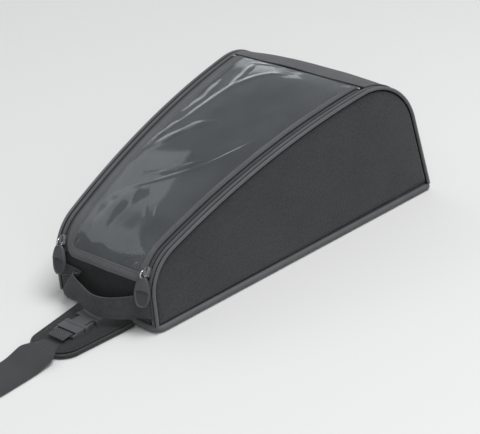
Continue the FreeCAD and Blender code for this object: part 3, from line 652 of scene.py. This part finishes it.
def make_zips():
    """Each zip is two halves: one sewn to the gusset, the other to the lid."""
    start, end, pitch = S_LIP + 1.0, s_at_y(HINGE_Y - 3.0), 1.5
    s = np.linspace(start, end, 300)
    half = ZIP_WIDE / 4
    halves = (("bag", "zip_chain_", (7.6, 9.5, ZIP_INSET - 0.2), (-1.6, -1.9, -1.9), -half, 0.0),
              ("lid", "lid_zip_", (ZIP_INSET + 0.2, 13.2, 17.0), (-1.9, -1.9, -2.1), half, 0.5))
    for side, name in SIDES:
        for body, node, insets, heights, aside, shift in halves:
            chain = Builder().shell(edge_strip(side, insets, heights, s), thick=0.6)
            chain.loft(coil_rings(side, ZIP_INSET + aside, 2 * half, start, end, pitch, shift))
            piece(f"zip_half_{body}_{name}", chain, body, "zip_coil", [node + name])
    stops = Builder()
    for side, _ in SIDES:
        spots = np.linspace(s_at_y(HINGE_Y - 5.5), s_at_y(HINGE_Y - 2.5), 7)
        line, up = edge_line(side, ZIP_INSET, 0.5, spots)
        bulge = np.array([0.5, 0.85, 1.0, 1.0, 1.0, 0.85, 0.5])[:, None, None]
        stops.loft(sweep(line, up, tape_section(wide=5.2, thick=1.6)[None] * bulge))
    piece("zip_end_stops", stops, "bag", "slider_metal", ["zip_stops"])


# ---- front and rear walls
def cross_grid(s_values, inset, columns, height):
    """A grid right across the bag, inset from both side faces; height(x, s) raises it."""
    y = outline_at(s_values)[0][:, None]
    x = (half_width(y) - inset) * np.linspace(-1, 1, columns)[None, :]
    s = s_values[:, None] * np.ones((1, columns))
    return lid_point(x, s, height(x, s))


FOLD_HALF = 4.0


def at_height(height):
    """A height function for cross_grid that is the same everywhere."""
    return lambda x, s: height * np.ones_like(x)


def fold_height(x, s):
    """The hinge's fold dips between its two sewn edges."""
    return -1.2 + 0.5 * np.cos((s - S_HINGE) / FOLD_HALF * math.pi)


def make_front():
    s = np.linspace(S_HINGE + 1.6, S_END, 150)
    grid = cross_grid(s, GUSSET_INSETS[1] - 0.5, columns=90, height=at_height(0.3))
    grid = uneven(grid, s, size=48.0, height=1.5, seed=9.0)
    piece("front_cover", Builder().shell(grid, thick=1.4), "bag", "plain_nylon", ["front_panel"])
    lining = cross_grid(np.linspace(S_HINGE + 3, S_END, 60), inset=10.5, columns=40, height=at_height(-3.2))
    piece("front_lining_cloth", Builder().shell(lining, thick=0.8), "bag", "lining", ["front_lining"])
    s = np.linspace(S_HINGE - FOLD_HALF, S_HINGE + FOLD_HALF, 9)
    fold = cross_grid(s, LID_INSET + 0.8, columns=60, height=fold_height)
    bend = ((0, HINGE_Y + 2.5, 163), (0, HINGE_Y - 2.5, 163))
    piece("hinge_fold", Builder().shell(fold, thick=0.9), ("bag", "lid"), "dark_nylon", bend=bend)


REAR_SET = 4.5


def make_rear():
    """The rear wall stands in from the outline under the lid's lip; its cover sags, its lining is flat."""
    wide, _, high = node_box("rear_panel")[1]
    s_top = float(np.interp(high, LINE_Z[:PEAK], LINE_S[:PEAK]))
    s = np.linspace(0, s_top, 40)
    x = np.linspace(-wide, wide, 70)[None, :]
    swell = 1.2 * (1 - (x / wide) ** 2) * np.sin(np.linspace(0, math.pi, len(s)))[:, None]
    cover = bag_point(x, s[:, None], 0.6 - REAR_SET + swell)
    cover = uneven(cover, s, size=24.0, height=0.9, seed=1.0)
    piece("rear_cover", Builder().shell(cover, thick=0.9), "bag", "dark_nylon", ["rear_panel"])
    lining = bag_point(x, s[:, None], -2.4 - REAR_SET)
    piece("rear_lining_cloth", Builder().shell(lining, thick=0.9), "bag", "lining", ["rear_lining"])


# ---- lid
def lip_lift(x, s):
    """The lid's rear lip stands a little off the bag."""
    wave = 0.35 * np.sin(x / 9.0 + 0.6)
    return (3.0 * (1 - lid_share(x, s) ** 4) + wave) * np.clip(1 - (s - S_LIP) / 38, 0, 1) ** 2


def quarter(centre, radius, start, count):
    """A quarter circle that turns anticlockwise from the angle at its start."""
    turn = np.linspace(start, start + math.pi / 2, count)
    return centre + radius * beside(np.cos(turn), np.sin(turn))


def corner_trim(s, start, radius):
    """How much a rounded corner takes off a side edge near its start."""
    short = np.clip(radius - (s - start), 0, radius)
    return radius - np.sqrt(np.clip(radius ** 2 - short ** 2, 0, None))


def lid_grid(s, start, insets, rounds, columns, height):
    """A grid over the lid between its own left and right insets, with rounded rear corners."""
    edge = half_width(outline_at(s)[0])
    low = -(edge - insets[0]) + corner_trim(s, start, rounds[0])
    high = edge - insets[1] - corner_trim(s, start, rounds[1])
    x = low[:, None] + (high - low)[:, None] * np.linspace(0, 1, columns)[None, :]
    rows = s[:, None] * np.ones_like(x)
    return x, rows, lid_point(x, rows, height + lip_lift(x, rows))


LIP_TURN, LIP_Y = -180, -215
FILM_FOLDS = (
    # crest from rear to front as (x, y), height, half width: soft folds in the vinyl
    (((-54, -82), (-40, -50), (-24, -24), (-4, -8)), 1.0, 7.0),
    (((-50, -38), (-45, 8), (-41, 50), (-20, 90), (8, 106)), 1.1, 6.0),
    (((-41, 46), (-47, 80), (-55, 113)), 0.9, 5.0),
    (((-62, -84), (-57, -50), (-50, -18)), 0.8, 5.0),
    (((-60, -12), (-57, 24), (-66, 64)), 0.9, 6.0),
    (((-30, -132), (-8, -118), (22, -90), (46, -50), (68, 4)), 0.85, 2.6),
    (((-34, -112), (2, -98), (30, -66)), 0.8, 3.4),
    (((12, -150), (22, -160)), 0.7, 2.6),
    (((24, -144), (32, -156)), 0.7, 2.4),
    (((-43, -196), (-43, -208)), 0.7, 2.6),
    (((50, -196), (42, -208)), 1.0, 3.2),
    (((-62, 108), (-30, 117), (20, 115)), 0.8, 3.4),
    (((-2, -128), (-26, -150), (-24, -186)), 1.1, 15.0),
)


def crest_line(crest):
    """A fold's crest as a smooth line in (x, s).

    Behind LIP_TURN the outline turns down, and a point's y tells how far above the lip it lies."""
    return smooth_path([(x, s_at_y(y) if y > LIP_TURN else S_LIP + y - LIP_Y) for x, y in crest], 25)


def film_wave(x, s):
    """Soft folds and unevenness of the clear window over the lid."""
    height = np.zeros_like(x)
    for crest, rise, wide in FILM_FOLDS:
        far, along = line_distance(beside(x, s), crest_line(crest))
        swell = np.clip(6 * along * (1 - along), 0, 1) * (1 + 0.25 * np.sin(along * 17 + rise * 9))
        foot = wide * (0.6 + 0.4 * swell) + 0.1
        height += rise * swell * np.clip(1.1 - np.sqrt((far / foot) ** 2 + 0.03), 0, 1)
    spots = beside(x * 1.3, s * 0.7, 0.0)
    broad = wobble(spots, size=56.0, height=1.3, seed=4.0)
    return height + broad + wobble(spots, size=24.0, height=0.1, seed=7.0)


FILM_UNDER_HEM = 3.5
FILM_INSETS = (LID_INSET + HEM_LEFT - FILM_UNDER_HEM, LID_INSET + HEM_RIGHT - FILM_UNDER_HEM)
FILM_END = S_HINGE - 2.8


def make_lid():
    make_hem()
    s = np.linspace(S_LIP, S_HINGE - 2.4, 190)
    start = S_LIP - 0.2
    rounds = (LID_ROUND_LEFT, LID_ROUND_RIGHT)
    cover = lid_grid(s, start, (LID_INSET + 0.6,) * 2, rounds, columns=90, height=-1.3)[2]
    cover = uneven(cover, s, size=50.0, height=0.7, seed=2.0)
    piece("lid_cover", Builder().shell(cover, thick=1.0), "lid", "lid_nylon", ["lid_panel"])
    inner = lid_grid(s, start, (LID_INSET + 1.5,) * 2, rounds, columns=60, height=-3.0)[2]
    piece("lid_lining_cloth", Builder().shell(inner, thick=0.7), "lid", "lining", ["lid_lining"])
    s = np.linspace(S_LIP + 6, FILM_END, 330)
    x, rows, window = lid_grid(s, S_LIP + 5.8, FILM_INSETS, rounds=(10.0, 5.0), columns=190, height=1.1)
    border = np.minimum(np.minimum(x - x[:, :1], x[:, -1:] - x), np.minimum(rows - s[0], s[-1] - rows + 4))
    window += bag_normal(s)[:, None] * (film_wave(x, rows) * ease(border / 9))[..., None]
    vinyl = Builder().shell(window, thick=0.5)
    film_sheet = piece("map_window", vinyl, "lid", "clear_film", ["lid_window"], sharp=80)


def hem_path():
    """The hem's centre line in (x, s), with its width: down the left zip, round the lip, up the right."""
    low = S_LIP + HEM_REAR / 2
    halves = []
    for side, wide, corner in ((-1, HEM_LEFT, LID_ROUND_LEFT), (1, HEM_RIGHT, LID_ROUND_RIGHT)):
        radius = corner - HEM_REAR / 2
        s = np.linspace(FILM_END, low + radius, 220)
        line = beside(side * (lid_half(s) - wide / 2), s)
        bend = quarter((0, 0), radius, math.pi, 20) * [-side, 1]
        halves.append(np.concatenate([line, line[-1] - [side * radius, 0] + bend]))
    path = even(np.concatenate([halves[0], halves[1][::-1]]), 1.6)
    side_wide = np.where(path[:, 0] > 0, HEM_RIGHT, HEM_LEFT)
    return path, HEM_REAR + (side_wide - HEM_REAR) * ease((path[:, 1] - low) / 24)


def on_hem(path, aside, raised):
    """Places beside the hem's centre line, raised from the lid."""
    ahead = unit(np.gradient(path, axis=0))
    aside = np.broadcast_to(aside, len(path))[:, None]
    spot = path + beside(ahead[:, 1], -ahead[:, 0]) * aside
    return lid_point(spot[:, 0], spot[:, 1], raised + lip_lift(spot[:, 0], spot[:, 1]))


STITCH_SHARE = 0.62


def make_hem():
    """A padded border, pressed down along its two rows of stitches."""
    path, wide = hem_path()
    t = np.linspace(-1, 1, 17)
    dents = 0.55 * np.exp(-((np.abs(t) - STITCH_SHARE) / 0.1) ** 2)
    top = 1.5 + 0.7 * np.sqrt(np.clip(1 - np.abs(t) ** 6, 0, 1)) - dents
    under = 0.35 * np.ones_like(t)
    rings = [on_hem(path, a * wide / 2, h) for a, h in zip(t, top)]
    rings += [on_hem(path, a * wide / 2, h) for a, h in zip(t[::-1], under)]
    rings = np.stack(rings, axis=1)
    rings[..., 2] += wobble(rings, size=20.0, height=0.35, seed=6.0)
    piece("hem_binding", Builder().loft(rings), "lid", "binding", ["lid_hem"])


# ---- base
def rounded_outline(corners, radii, pitch=3.0):
    """A closed plan outline with rounded corners, evenly spaced, from the middle of its first side."""
    count = len(corners)
    corners = [np.array(c, float) for c in corners]
    line = [(corners[0] + corners[1]) / 2]
    for k in range(1, count + 1):
        before, here, after = corners[k - 1], corners[k % count], corners[(k + 1) % count]
        back, ahead = unit(before - here), unit(after - here)
        half = math.acos(float(np.clip(back @ ahead, -1, 1))) / 2
        radius = radii[k % count]
        run = radius / math.tan(half)
        centre = here + unit(back + ahead) * radius / math.sin(half)
        first, last = here + back * run - centre, here + ahead * run - centre
        for t in np.linspace(0, 1, 12):
            line.append(centre + unit(first * (1 - t) + last * t) * radius)
    line.append(line[0])
    closed = even(np.array(line), pitch)[:-1]
    return closed[:len(closed) - len(closed) % 2]


def slab(outline, steps):
    """A rounded slab: its outline drawn in by each step's inset, at each step's height."""
    ahead = np.roll(outline, -1, axis=0) - np.roll(outline, 1, axis=0)
    inward = unit(beside(-ahead[:, 1], ahead[:, 0]))
    rings = []
    for inset, height in steps:
        ring = outline + inward * inset
        rings.append(beside(*ring.T, height))
    return Builder().loft(rings)


def plan_corners(rear_y, front_y, grow):
    """Corners of a plan that is larger than the bag's by grow, from the rear left one, anticlockwise."""
    ends = [(rear_y, -1), (rear_y, 1), (front_y, 1), (front_y, -1)]
    return [(sign * (half_width(y) + grow), y) for y, sign in ends]


def make_base():
    """A rolled mat under the bag and the cloth floor inside it; the board between them is hidden."""
    grow, high = 2.8, BASE_TOP
    outline = rounded_outline(plan_corners(REAR_Y - grow, FRONT_Y + grow, grow), [14.0, 14.0, 6.0, 6.0])
    turn = np.linspace(-0.5, 0.5, 9) * math.pi
    rim = [(3.6 - 3.6 * math.cos(a), high / 2 + (high / 2 - 0.2) * math.sin(a)) for a in turn]
    below = [(60, 0.6), (9, 0.5), (5.2, 0.2)]
    above = [(5.2, high - 0.7), (9, high - 0.6), (60, high - 0.6)]
    piece("base_mat", slab(outline, below + rim + above), "bag", "grip_base", ["base_pad"])
    low, top = node_box("base_lining")
    inner = rounded_outline(plan_corners(low[1], top[1], -9.6), [8.0] * 4)
    floor = slab(inner, [(50, low[2]), (0.3, low[2]), (0, low[2] + 0.5), (0.3, top[2]), (50, top[2])])
    piece("base_lining_cloth", floor, "bag", "lining", ["base_lining"])
    dress(frame["nodes"]["base_board"].data, "board")


# ---- carrying handle
HANDLE_TOP = ((-69, -213.6), (-56, -213.9), (-44, -214.2), (-35, -215.2), (-34.5, -218.5), (-38.5, -221.5),
              (-37.5, -225), (-29, -229.5), (-15, -234), (0, -239), (14, -241), (29, -237.5), (43, -228),
              (54, -219), (62, -214.8), (69, -213.7))
HANDLE_LOW = ((-69, -213.6), (-66, -214.0), (-63.5, -215.0), (-61.5, -216.5), (-61, -218.5), (-61.5, -220.5),
              (-59.5, -223.5), (-49, -227), (-31, -231), (-8, -238.5), (9, -241.5), (27, -239.5), (43, -231),
              (54.5, -220.5), (62, -215.2), (69, -213.8))
HANDLE_SPLIT_X = -20.0
WEBBING_THICK = 1.6


def make_handle():
    """One slack loop of webbing, twisted at its left foot, made in two halves that join without a step."""
    low, high = node_box("handle")[0][2], node_box("handle")[1][2]
    count = 150
    tops, lows = smooth_path(HANDLE_TOP, count), smooth_path(HANDLE_LOW, count)
    rise = np.linspace(0, 1, 13)[None, :, None]
    droop = 3.5 * np.clip(1 - ((tops[:, :1] - 12) / 52) ** 2, 0, 1)[:, None]
    plan = lows[:, None] * (1 - rise) + tops[:, None] * rise
    grid = np.concatenate([plan, low + (high - low) * rise - droop * rise], axis=2)
    outward = unit(np.cross(np.gradient(grid, axis=0), np.gradient(grid, axis=1)))
    grid += outward * wobble(grid, size=22.0, height=0.5, seed=8.0)[..., None]
    bottom_first = np.argmax(grid[:, 0, 0] > HANDLE_SPLIT_X)
    middle = (low + high) / 2
    bend = ((0, REAR_Y - 2.5, middle), (0, REAR_Y - 15, middle))
    for name, half, node in (("handle_left_half", grid[:bottom_first + 1], "handle"),
                             ("handle_right_half", grid[bottom_first:], "handle_feet")):
        piece(name, Builder().shell(half, WEBBING_THICK), ("bag", "handle"), "webbing", [node], bend=bend)


# ---- zip sliders and pulls
def moulded(node, voxel, smoothing):
    """A rounded copy of a CAD piece, as a moulding or casting has it."""
    source = frame["nodes"][node]
    copy = new_object("moulding", source.data.copy())
    remesh = copy.modifiers.new("voxels", "REMESH")
    remesh.mode = "VOXEL"
    remesh.voxel_size = voxel * MM
    smoother = copy.modifiers.new("ease", "SMOOTH")
    smoother.factor = 0.5
    smoother.iterations = smoothing
    seen = copy.evaluated_get(bpy.context.evaluated_depsgraph_get())
    mesh = bpy.data.meshes.new_from_object(seen)
    bpy.data.objects.remove(copy)
    return mesh


PULL_LEAN = math.radians(13)
# how far each pull has turned on its ring, in degrees
PULL_TWIST = {"left": 0.0, "right": 28.0}
TAB_WIDE, TAB_LONG, TAB_DROP = 19.0, 34.5, 5.4
# the pull's raised upper part ends at this share of its length
TAB_STEP = 0.44


def pull_frame(name):
    """The pull's own axes at its pin: across, down and outward, with the pin's place."""
    joint = [j for j in frame["joints"] if j["name"] == "pull_swing_" + name][0]
    across = -np.array(joint["axis"])
    down = np.array([0, -math.sin(PULL_LEAN), -math.cos(PULL_LEAN)])
    down = unit(down - across * (across @ down))
    outward = np.cross(down, across)
    twist = math.radians(PULL_TWIST[name])
    turned = across * math.cos(twist) - outward * math.sin(twist)
    return np.array(joint["pos_m"]) / MM, turned, down, np.cross(down, turned)


def tab_half_width(t):
    """Half the pull's width at a share of its length: an oval with a slightly waisted top."""
    oval = np.sqrt(np.clip(1 - (2 * t - 1) ** 2, 0, 1)) ** 0.68
    return np.maximum(TAB_WIDE / 2 * oval * (0.84 + 0.16 * np.clip(t * 2, 0, 1)), 0.15)


def pull_place(name, t, q, height):
    """A place on a pull: t down its length, q across its width, height out from its middle."""
    pin, across, down, outward = pull_frame(name)
    spot = pin + across * (q * tab_half_width(t))[..., None] + down * (TAB_DROP + TAB_LONG * t)[..., None]
    return spot + outward * height[..., None]


def make_grip(name):
    """The rubber pull: domed above its step, dished within a raised rim below it."""
    t, q = np.meshgrid(spaced(90, 0.8), np.linspace(-1, 1, 41), indexing="ij")
    inward = np.minimum(tab_half_width(t) * (1 - np.abs(q)), TAB_LONG * np.minimum(t, 1 - t) * 1.6)
    round_off = np.sqrt(np.clip(1 - np.clip(1 - inward / 2.0, 0, 1) ** 2.2, 0, 1))
    upper = np.clip((TAB_STEP + 0.07 * q ** 2 - t) / 0.02 + 0.5, 0, 1)
    dome = 2.0 + (1 - q ** 2) * np.sin(np.clip(t / TAB_STEP, 0, 1) * math.pi * 0.7)
    dish = 0.7 + 1.235 * np.exp(-((inward - 1.6) / 1.1) ** 2)
    front = pull_place(name, t, q, (upper * dome + (1 - upper) * dish) * round_off)
    back = pull_place(name, t, q, -1.5 * round_off)
    return Builder().loft(np.concatenate([front, back[:, ::-1]], axis=1))


def make_inlay(name):
    """A ribbed patch in the pull's dish."""
    t, q = np.meshgrid(np.linspace(TAB_STEP + 0.02, 0.92, 30), np.linspace(-1, 1, 21), indexing="ij")
    reach = 0.74 * np.sqrt(np.clip(1 - np.clip((t - 0.66) / 0.27, 0, 1) ** 2, 0.01, 1))
    return Builder().shell(pull_place(name, t, q * reach, 1.0 + 0.12 * np.cos(t * 90)), thick=0.7)


def make_pulls():
    for _, name in SIDES:
        piece("pull_grip_" + name, make_grip(name), "pull_" + name, "pull_rubber", ["pull_tab_" + name])
        piece("pull_inlay_" + name, make_inlay(name), "pull_" + name, "pull_inlay")
        slider = moulded("slider_" + name, voxel=0.2, smoothing=3)
        piece("slider_body_" + name, slider, "slider_" + name, "slider_metal", ["slider_" + name])
        for node, material in (("pull_ring_", "ring_steel"), ("slider_pin_", "slider_metal")):
            mesh = frame["nodes"][node + name].data
            dress(mesh, material)
            mesh.shade_smooth()


# ---- tail flap, buckle and straps
def strap(line, wide=24.0, thick=WEBBING_THICK, taper=1.0):
    """Webbing whose line runs in the upright plane along the bag: points are (y, z)."""
    path = beside(0.0, *np.transpose(line))
    ahead = np.gradient(path, axis=0)
    up = beside(0.0, -ahead[:, 2], ahead[:, 1])
    section = np.tile(tape_section(wide, thick) - [0, thick / 2], (len(line), 1, 1))
    section[..., 0] *= np.reshape(taper, (-1, 1))
    return Builder().loft(sweep(path, up, section))


BAR_LOOP_RADIUS = 2.8


def bar_loop(bar, ahead, back, rise=0.0):
    """Webbing along its lower run, round a bar and back over itself, as (y, z) points.

    ahead is where the lower run starts and back where the upper run ends; the bar lies beyond both."""
    y, z = bar
    radius = math.copysign(BAR_LOOP_RADIUS, y - ahead)
    low, high = z - BAR_LOOP_RADIUS, z + BAR_LOOP_RADIUS
    turn = np.linspace(-0.5, 0.5, 17) * math.pi
    wrap = [(y + radius * math.cos(a), z + BAR_LOOP_RADIUS * math.sin(a)) for a in turn]
    lower = [(ahead + (y - ahead) * t, low) for t in np.linspace(0, 0.92, 8)]
    upper = [(y + (back - y) * t, high - rise * t ** 2) for t in np.linspace(0.08, 1, 10)]
    return np.array(lower + wrap + upper)


TAIL_BEND = ((0, -215.0, 2), (0, -225.0, 2))
ROOT_HALF, END_HALF, TAIL_ROUND = 43.0, 31.0, 24.0
BUCKLE_BAR = (-227.6, 8.8)


def tail_half_width(y, inset):
    """Half the tapered tail's width at a place along it, less an inset."""
    low, high = node_box("tongue_binding")
    return ROOT_HALF + (END_HALF - ROOT_HALF) * (high[1] - y) / (high[1] - low[1]) - inset


def make_flap(y_root, y_end):
    """The padded flap: swollen in the middle, with rounded far corners."""
    inset = 3.5
    turned = np.linspace(math.pi / 2, 0, 90)
    from_end = (y_root - y_end - inset) * (1 - np.cos(turned))
    y = y_end + inset + from_end
    half = tail_half_width(y, inset) - corner_trim(from_end, 0, TAIL_ROUND - inset)
    x = half[:, None] * np.linspace(-1, 1, 61)[None, :]
    gap = np.minimum(half[:, None] - np.abs(x), from_end[:, None])
    grid = beside(x, y[:, None], 3.3 + 0.9 * ease(gap / 9.0))
    return Builder().shell(grid[::-1], thick=2.7)


def binding_path(y_root, y_end):
    """The middle of the flap's bound edge: down its left side, round its end and up its right side."""
    inset, base = 4.0, 0.1
    side_y = np.linspace(y_root, y_end + TAIL_ROUND, 40)
    left = beside(-tail_half_width(side_y, inset), side_y)
    bend = quarter((left[-1, 0] + TAIL_ROUND - inset, side_y[-1]), TAIL_ROUND - inset, math.pi, 14)
    half = np.concatenate([left, bend])
    line = even(np.concatenate([half, half[::-1] * [-1, 1]]), 2.0)
    return beside(*line.T, base)


def make_tail():
    low, high = node_box("tongue_binding")
    y_root, y_end = high[1], low[1]
    joined = ("bag", "tail")
    padding = make_flap(y_root, y_end)
    flap = piece("tail_flap", padding, joined, "padded_nylon", ["tail_tongue"], bend=TAIL_BEND)
    path = binding_path(y_root, y_end)
    up = np.tile([0.0, 0, 1], (len(path), 1))
    binding = Builder().loft(sweep(path, up, tape_section(wide=8.0, thick=3.9, crown=0.2, count=13)))
    piece("flap_binding", binding, joined, "flap_edge_painted_shade", ["tongue_binding"], bend=TAIL_BEND)
    web = strap(bar_loop(BUCKLE_BAR, y_root + 0.2, y_root + 0.5))
    piece("tail_web", web, joined, "webbing", ["tail_webbing"], bend=TAIL_BEND)
    return path


SEAT_BAR = (-277.7, 8.8)


def make_buckle():
    for node, body in (("buckle_female", "buckle_female"), ("buckle_male", "buckle_male"),
                       ("buckle_prong_left", "prong_left"), ("buckle_prong_right", "prong_right")):
        shape = moulded(node, voxel=0.3, smoothing=5)
        piece("moulded_" + node, shape, body, "buckle_plastic", [node])
    front = node_box("seat_webbing")[0][1] + 0.5
    line = bar_loop(SEAT_BAR, front, SEAT_BAR[0] - 13.0, rise=0.6)
    piece("seat_web", strap(line), "seat_strap", "webbing", ["seat_webbing"])
    low, high = node_box("seat_strap")
    run = smooth_path(((high[1], 7.5), (-306, 7.4), (-321, 6.2), (-338, 2.2), (-352, 1.2), (low[1], 1.2)), 70)
    panel = strap(run, wide=50.0, thick=1.5, taper=0.5 + 0.5 * ease((high[1] - run[:, 0]) / 24))
    piece("seat_strap_panel", panel, "seat_strap", "strap_nylon", ["seat_strap"])


def make_front_anchor():
    low, high = node_box("front_webbing")
    bar = (high[1] - 3.6, (low[2] + high[2]) / 2)
    web = strap(bar_loop(bar, low[1], low[1] + 26))
    bend = ((0, FRONT_Y + 2.5, 1), (0, FRONT_Y + 12, 1))
    piece("front_web", web, ("bag", "front_strap"), "webbing", ["front_webbing"], bend=bend)
    lock = moulded("front_ladder_lock", voxel=0.3, smoothing=4)
    piece("moulded_ladder_lock", lock, "front_strap", "buckle_plastic", ["front_ladder_lock"])


# ---- stitching
def make_stitches(flap_path):
    """Rows of thread along the hem, the gussets, the front of the hinge and the tail's binding."""
    lid, bag, tail = Builder(), Builder(), Builder()
    path, wide = hem_path()
    for aside in (-STITCH_SHARE, STITCH_SHARE):
        add_stitches(lid, on_hem(path, aside * wide / 2, 1.75), bag_normal(path[:, 1]))
    piece("stitching_lid", lid, "lid", "thread")
    s = np.linspace(3, S_END - 3, 500)
    for side, _ in SIDES:
        for inset, offset in GUSSET_ROWS:
            add_stitches(bag, *edge_line(side, inset, offset, s))
    reach = half_width(HINGE_Y) - LID_INSET
    x = np.linspace(-reach, reach, 200)
    across = np.full_like(x, S_HINGE + 5.0)
    add_stitches(bag, lid_point(x, across, 0.55), bag_normal(across))
    piece("stitching_bag", bag, "bag", "thread")
    up = np.tile([0.0, 0, 1], (len(flap_path), 1))
    aside = np.cross(unit(np.gradient(flap_path, axis=0)), up)
    for shift in (-2.4, 2.2):
        line = flap_path + aside * shift + [0, 0, 4.1]
        add_stitches(tail, line, up, pitch=3.2, long=2.3, radius=0.3)
    piece("stitching_tail", tail, ("bag", "tail"), "thread", bend=TAIL_BEND)


# ---- stage
CAMERA_AZIMUTH, CAMERA_ELEVATION, CAMERA_ROLL = 44.42, 27.54, -5.57
CAMERA_DISTANCE, CAMERA_SIDE, CAMERA_RAISE = 2017.7, 0.4, 21.1
SENSOR, FOCAL = 36.0, 130.3


def view_axes():
    """Right, up and backward directions of the camera."""
    azimuth, elevation, roll = (math.radians(a) for a in (CAMERA_AZIMUTH, CAMERA_ELEVATION, CAMERA_ROLL))
    back = Vector((math.sin(azimuth) * math.cos(elevation), -math.cos(azimuth) * math.cos(elevation),
                   math.sin(elevation)))
    right = Vector((math.cos(azimuth), math.sin(azimuth), 0))
    up = back.cross(right)
    return (right * math.cos(roll) + up * math.sin(roll), up * math.cos(roll) - right * math.sin(roll), back)


def make_camera():
    right, up, back = view_axes()
    camera = new_object("camera", bpy.data.cameras.new("camera"))
    place = (back * CAMERA_DISTANCE + right * CAMERA_SIDE + up * CAMERA_RAISE) * MM
    turn = Matrix((right, up, back)).transposed()
    camera.matrix_world = Matrix.Translation(place) @ turn.to_4x4()
    camera.data.sensor_width = SENSOR
    camera.data.lens = FOCAL
    bpy.context.scene.camera = camera


def area_light(name, place, target, size, power):
    light = new_object(name, bpy.data.lights.new(name, "AREA"))
    light.data.shape = "RECTANGLE"
    light.data.size, light.data.size_y = size
    light.data.energy = power
    light.location = place
    light.rotation_mode = "QUATERNION"
    light.rotation_quaternion = (Vector(target) - Vector(place)).to_track_quat("-Z", "Y")


def make_stage():
    mesh = bpy.data.meshes.new("floor")
    far = 6.0
    mesh.from_pydata([(-far, -far, 0), (far, -far, 0), (far, far, 0), (-far, far, 0)], [], [(0, 1, 2, 3)])
    floor = new_object("floor", mesh)
    floor.location.z = -0.0005
    recipe = Recipe("floor")
    recipe.surface({"Base Color": (0.62, 0.62, 0.615, 1), "Roughness": 0.85})
    mesh.materials.append(recipe.material)
    world = bpy.data.worlds.new("studio")
    world.use_nodes = True
    backdrop = world.node_tree.nodes["Background"]
    backdrop.inputs[0].default_value = (0.92, 0.94, 0.97, 1)
    backdrop.inputs[1].default_value = 0.4
    bpy.context.scene.world = world
    area_light("side_card", (-2.5, 1.45, 0.75), (0, 0, 0.1), size=(2.2, 1.3), power=8)
    area_light("rear_card", (-2.2, -0.5, 2.0), (0, 0, 0.1), size=(3.0, 1.3), power=10)
    area_light("top_softbox", (0.9, 0.2, 2.7), (0, 0, 0.1), size=(1.5, 1.5), power=75)
    area_light("front_fill", (2.0, -1.8, 1.0), (0, 0, 0.08), size=(1.5, 1.2), power=18)
    bpy.context.scene.view_settings.view_transform = "Standard"


make_camera()
make_stage()
make_sides()
make_gussets()
make_seam_shadows()
make_zips()
make_front()
make_rear()
make_lid()
make_base()
make_handle()
make_pulls()
flap_path = make_tail()
make_buckle()
make_front_anchor()
make_stitches(flap_path)
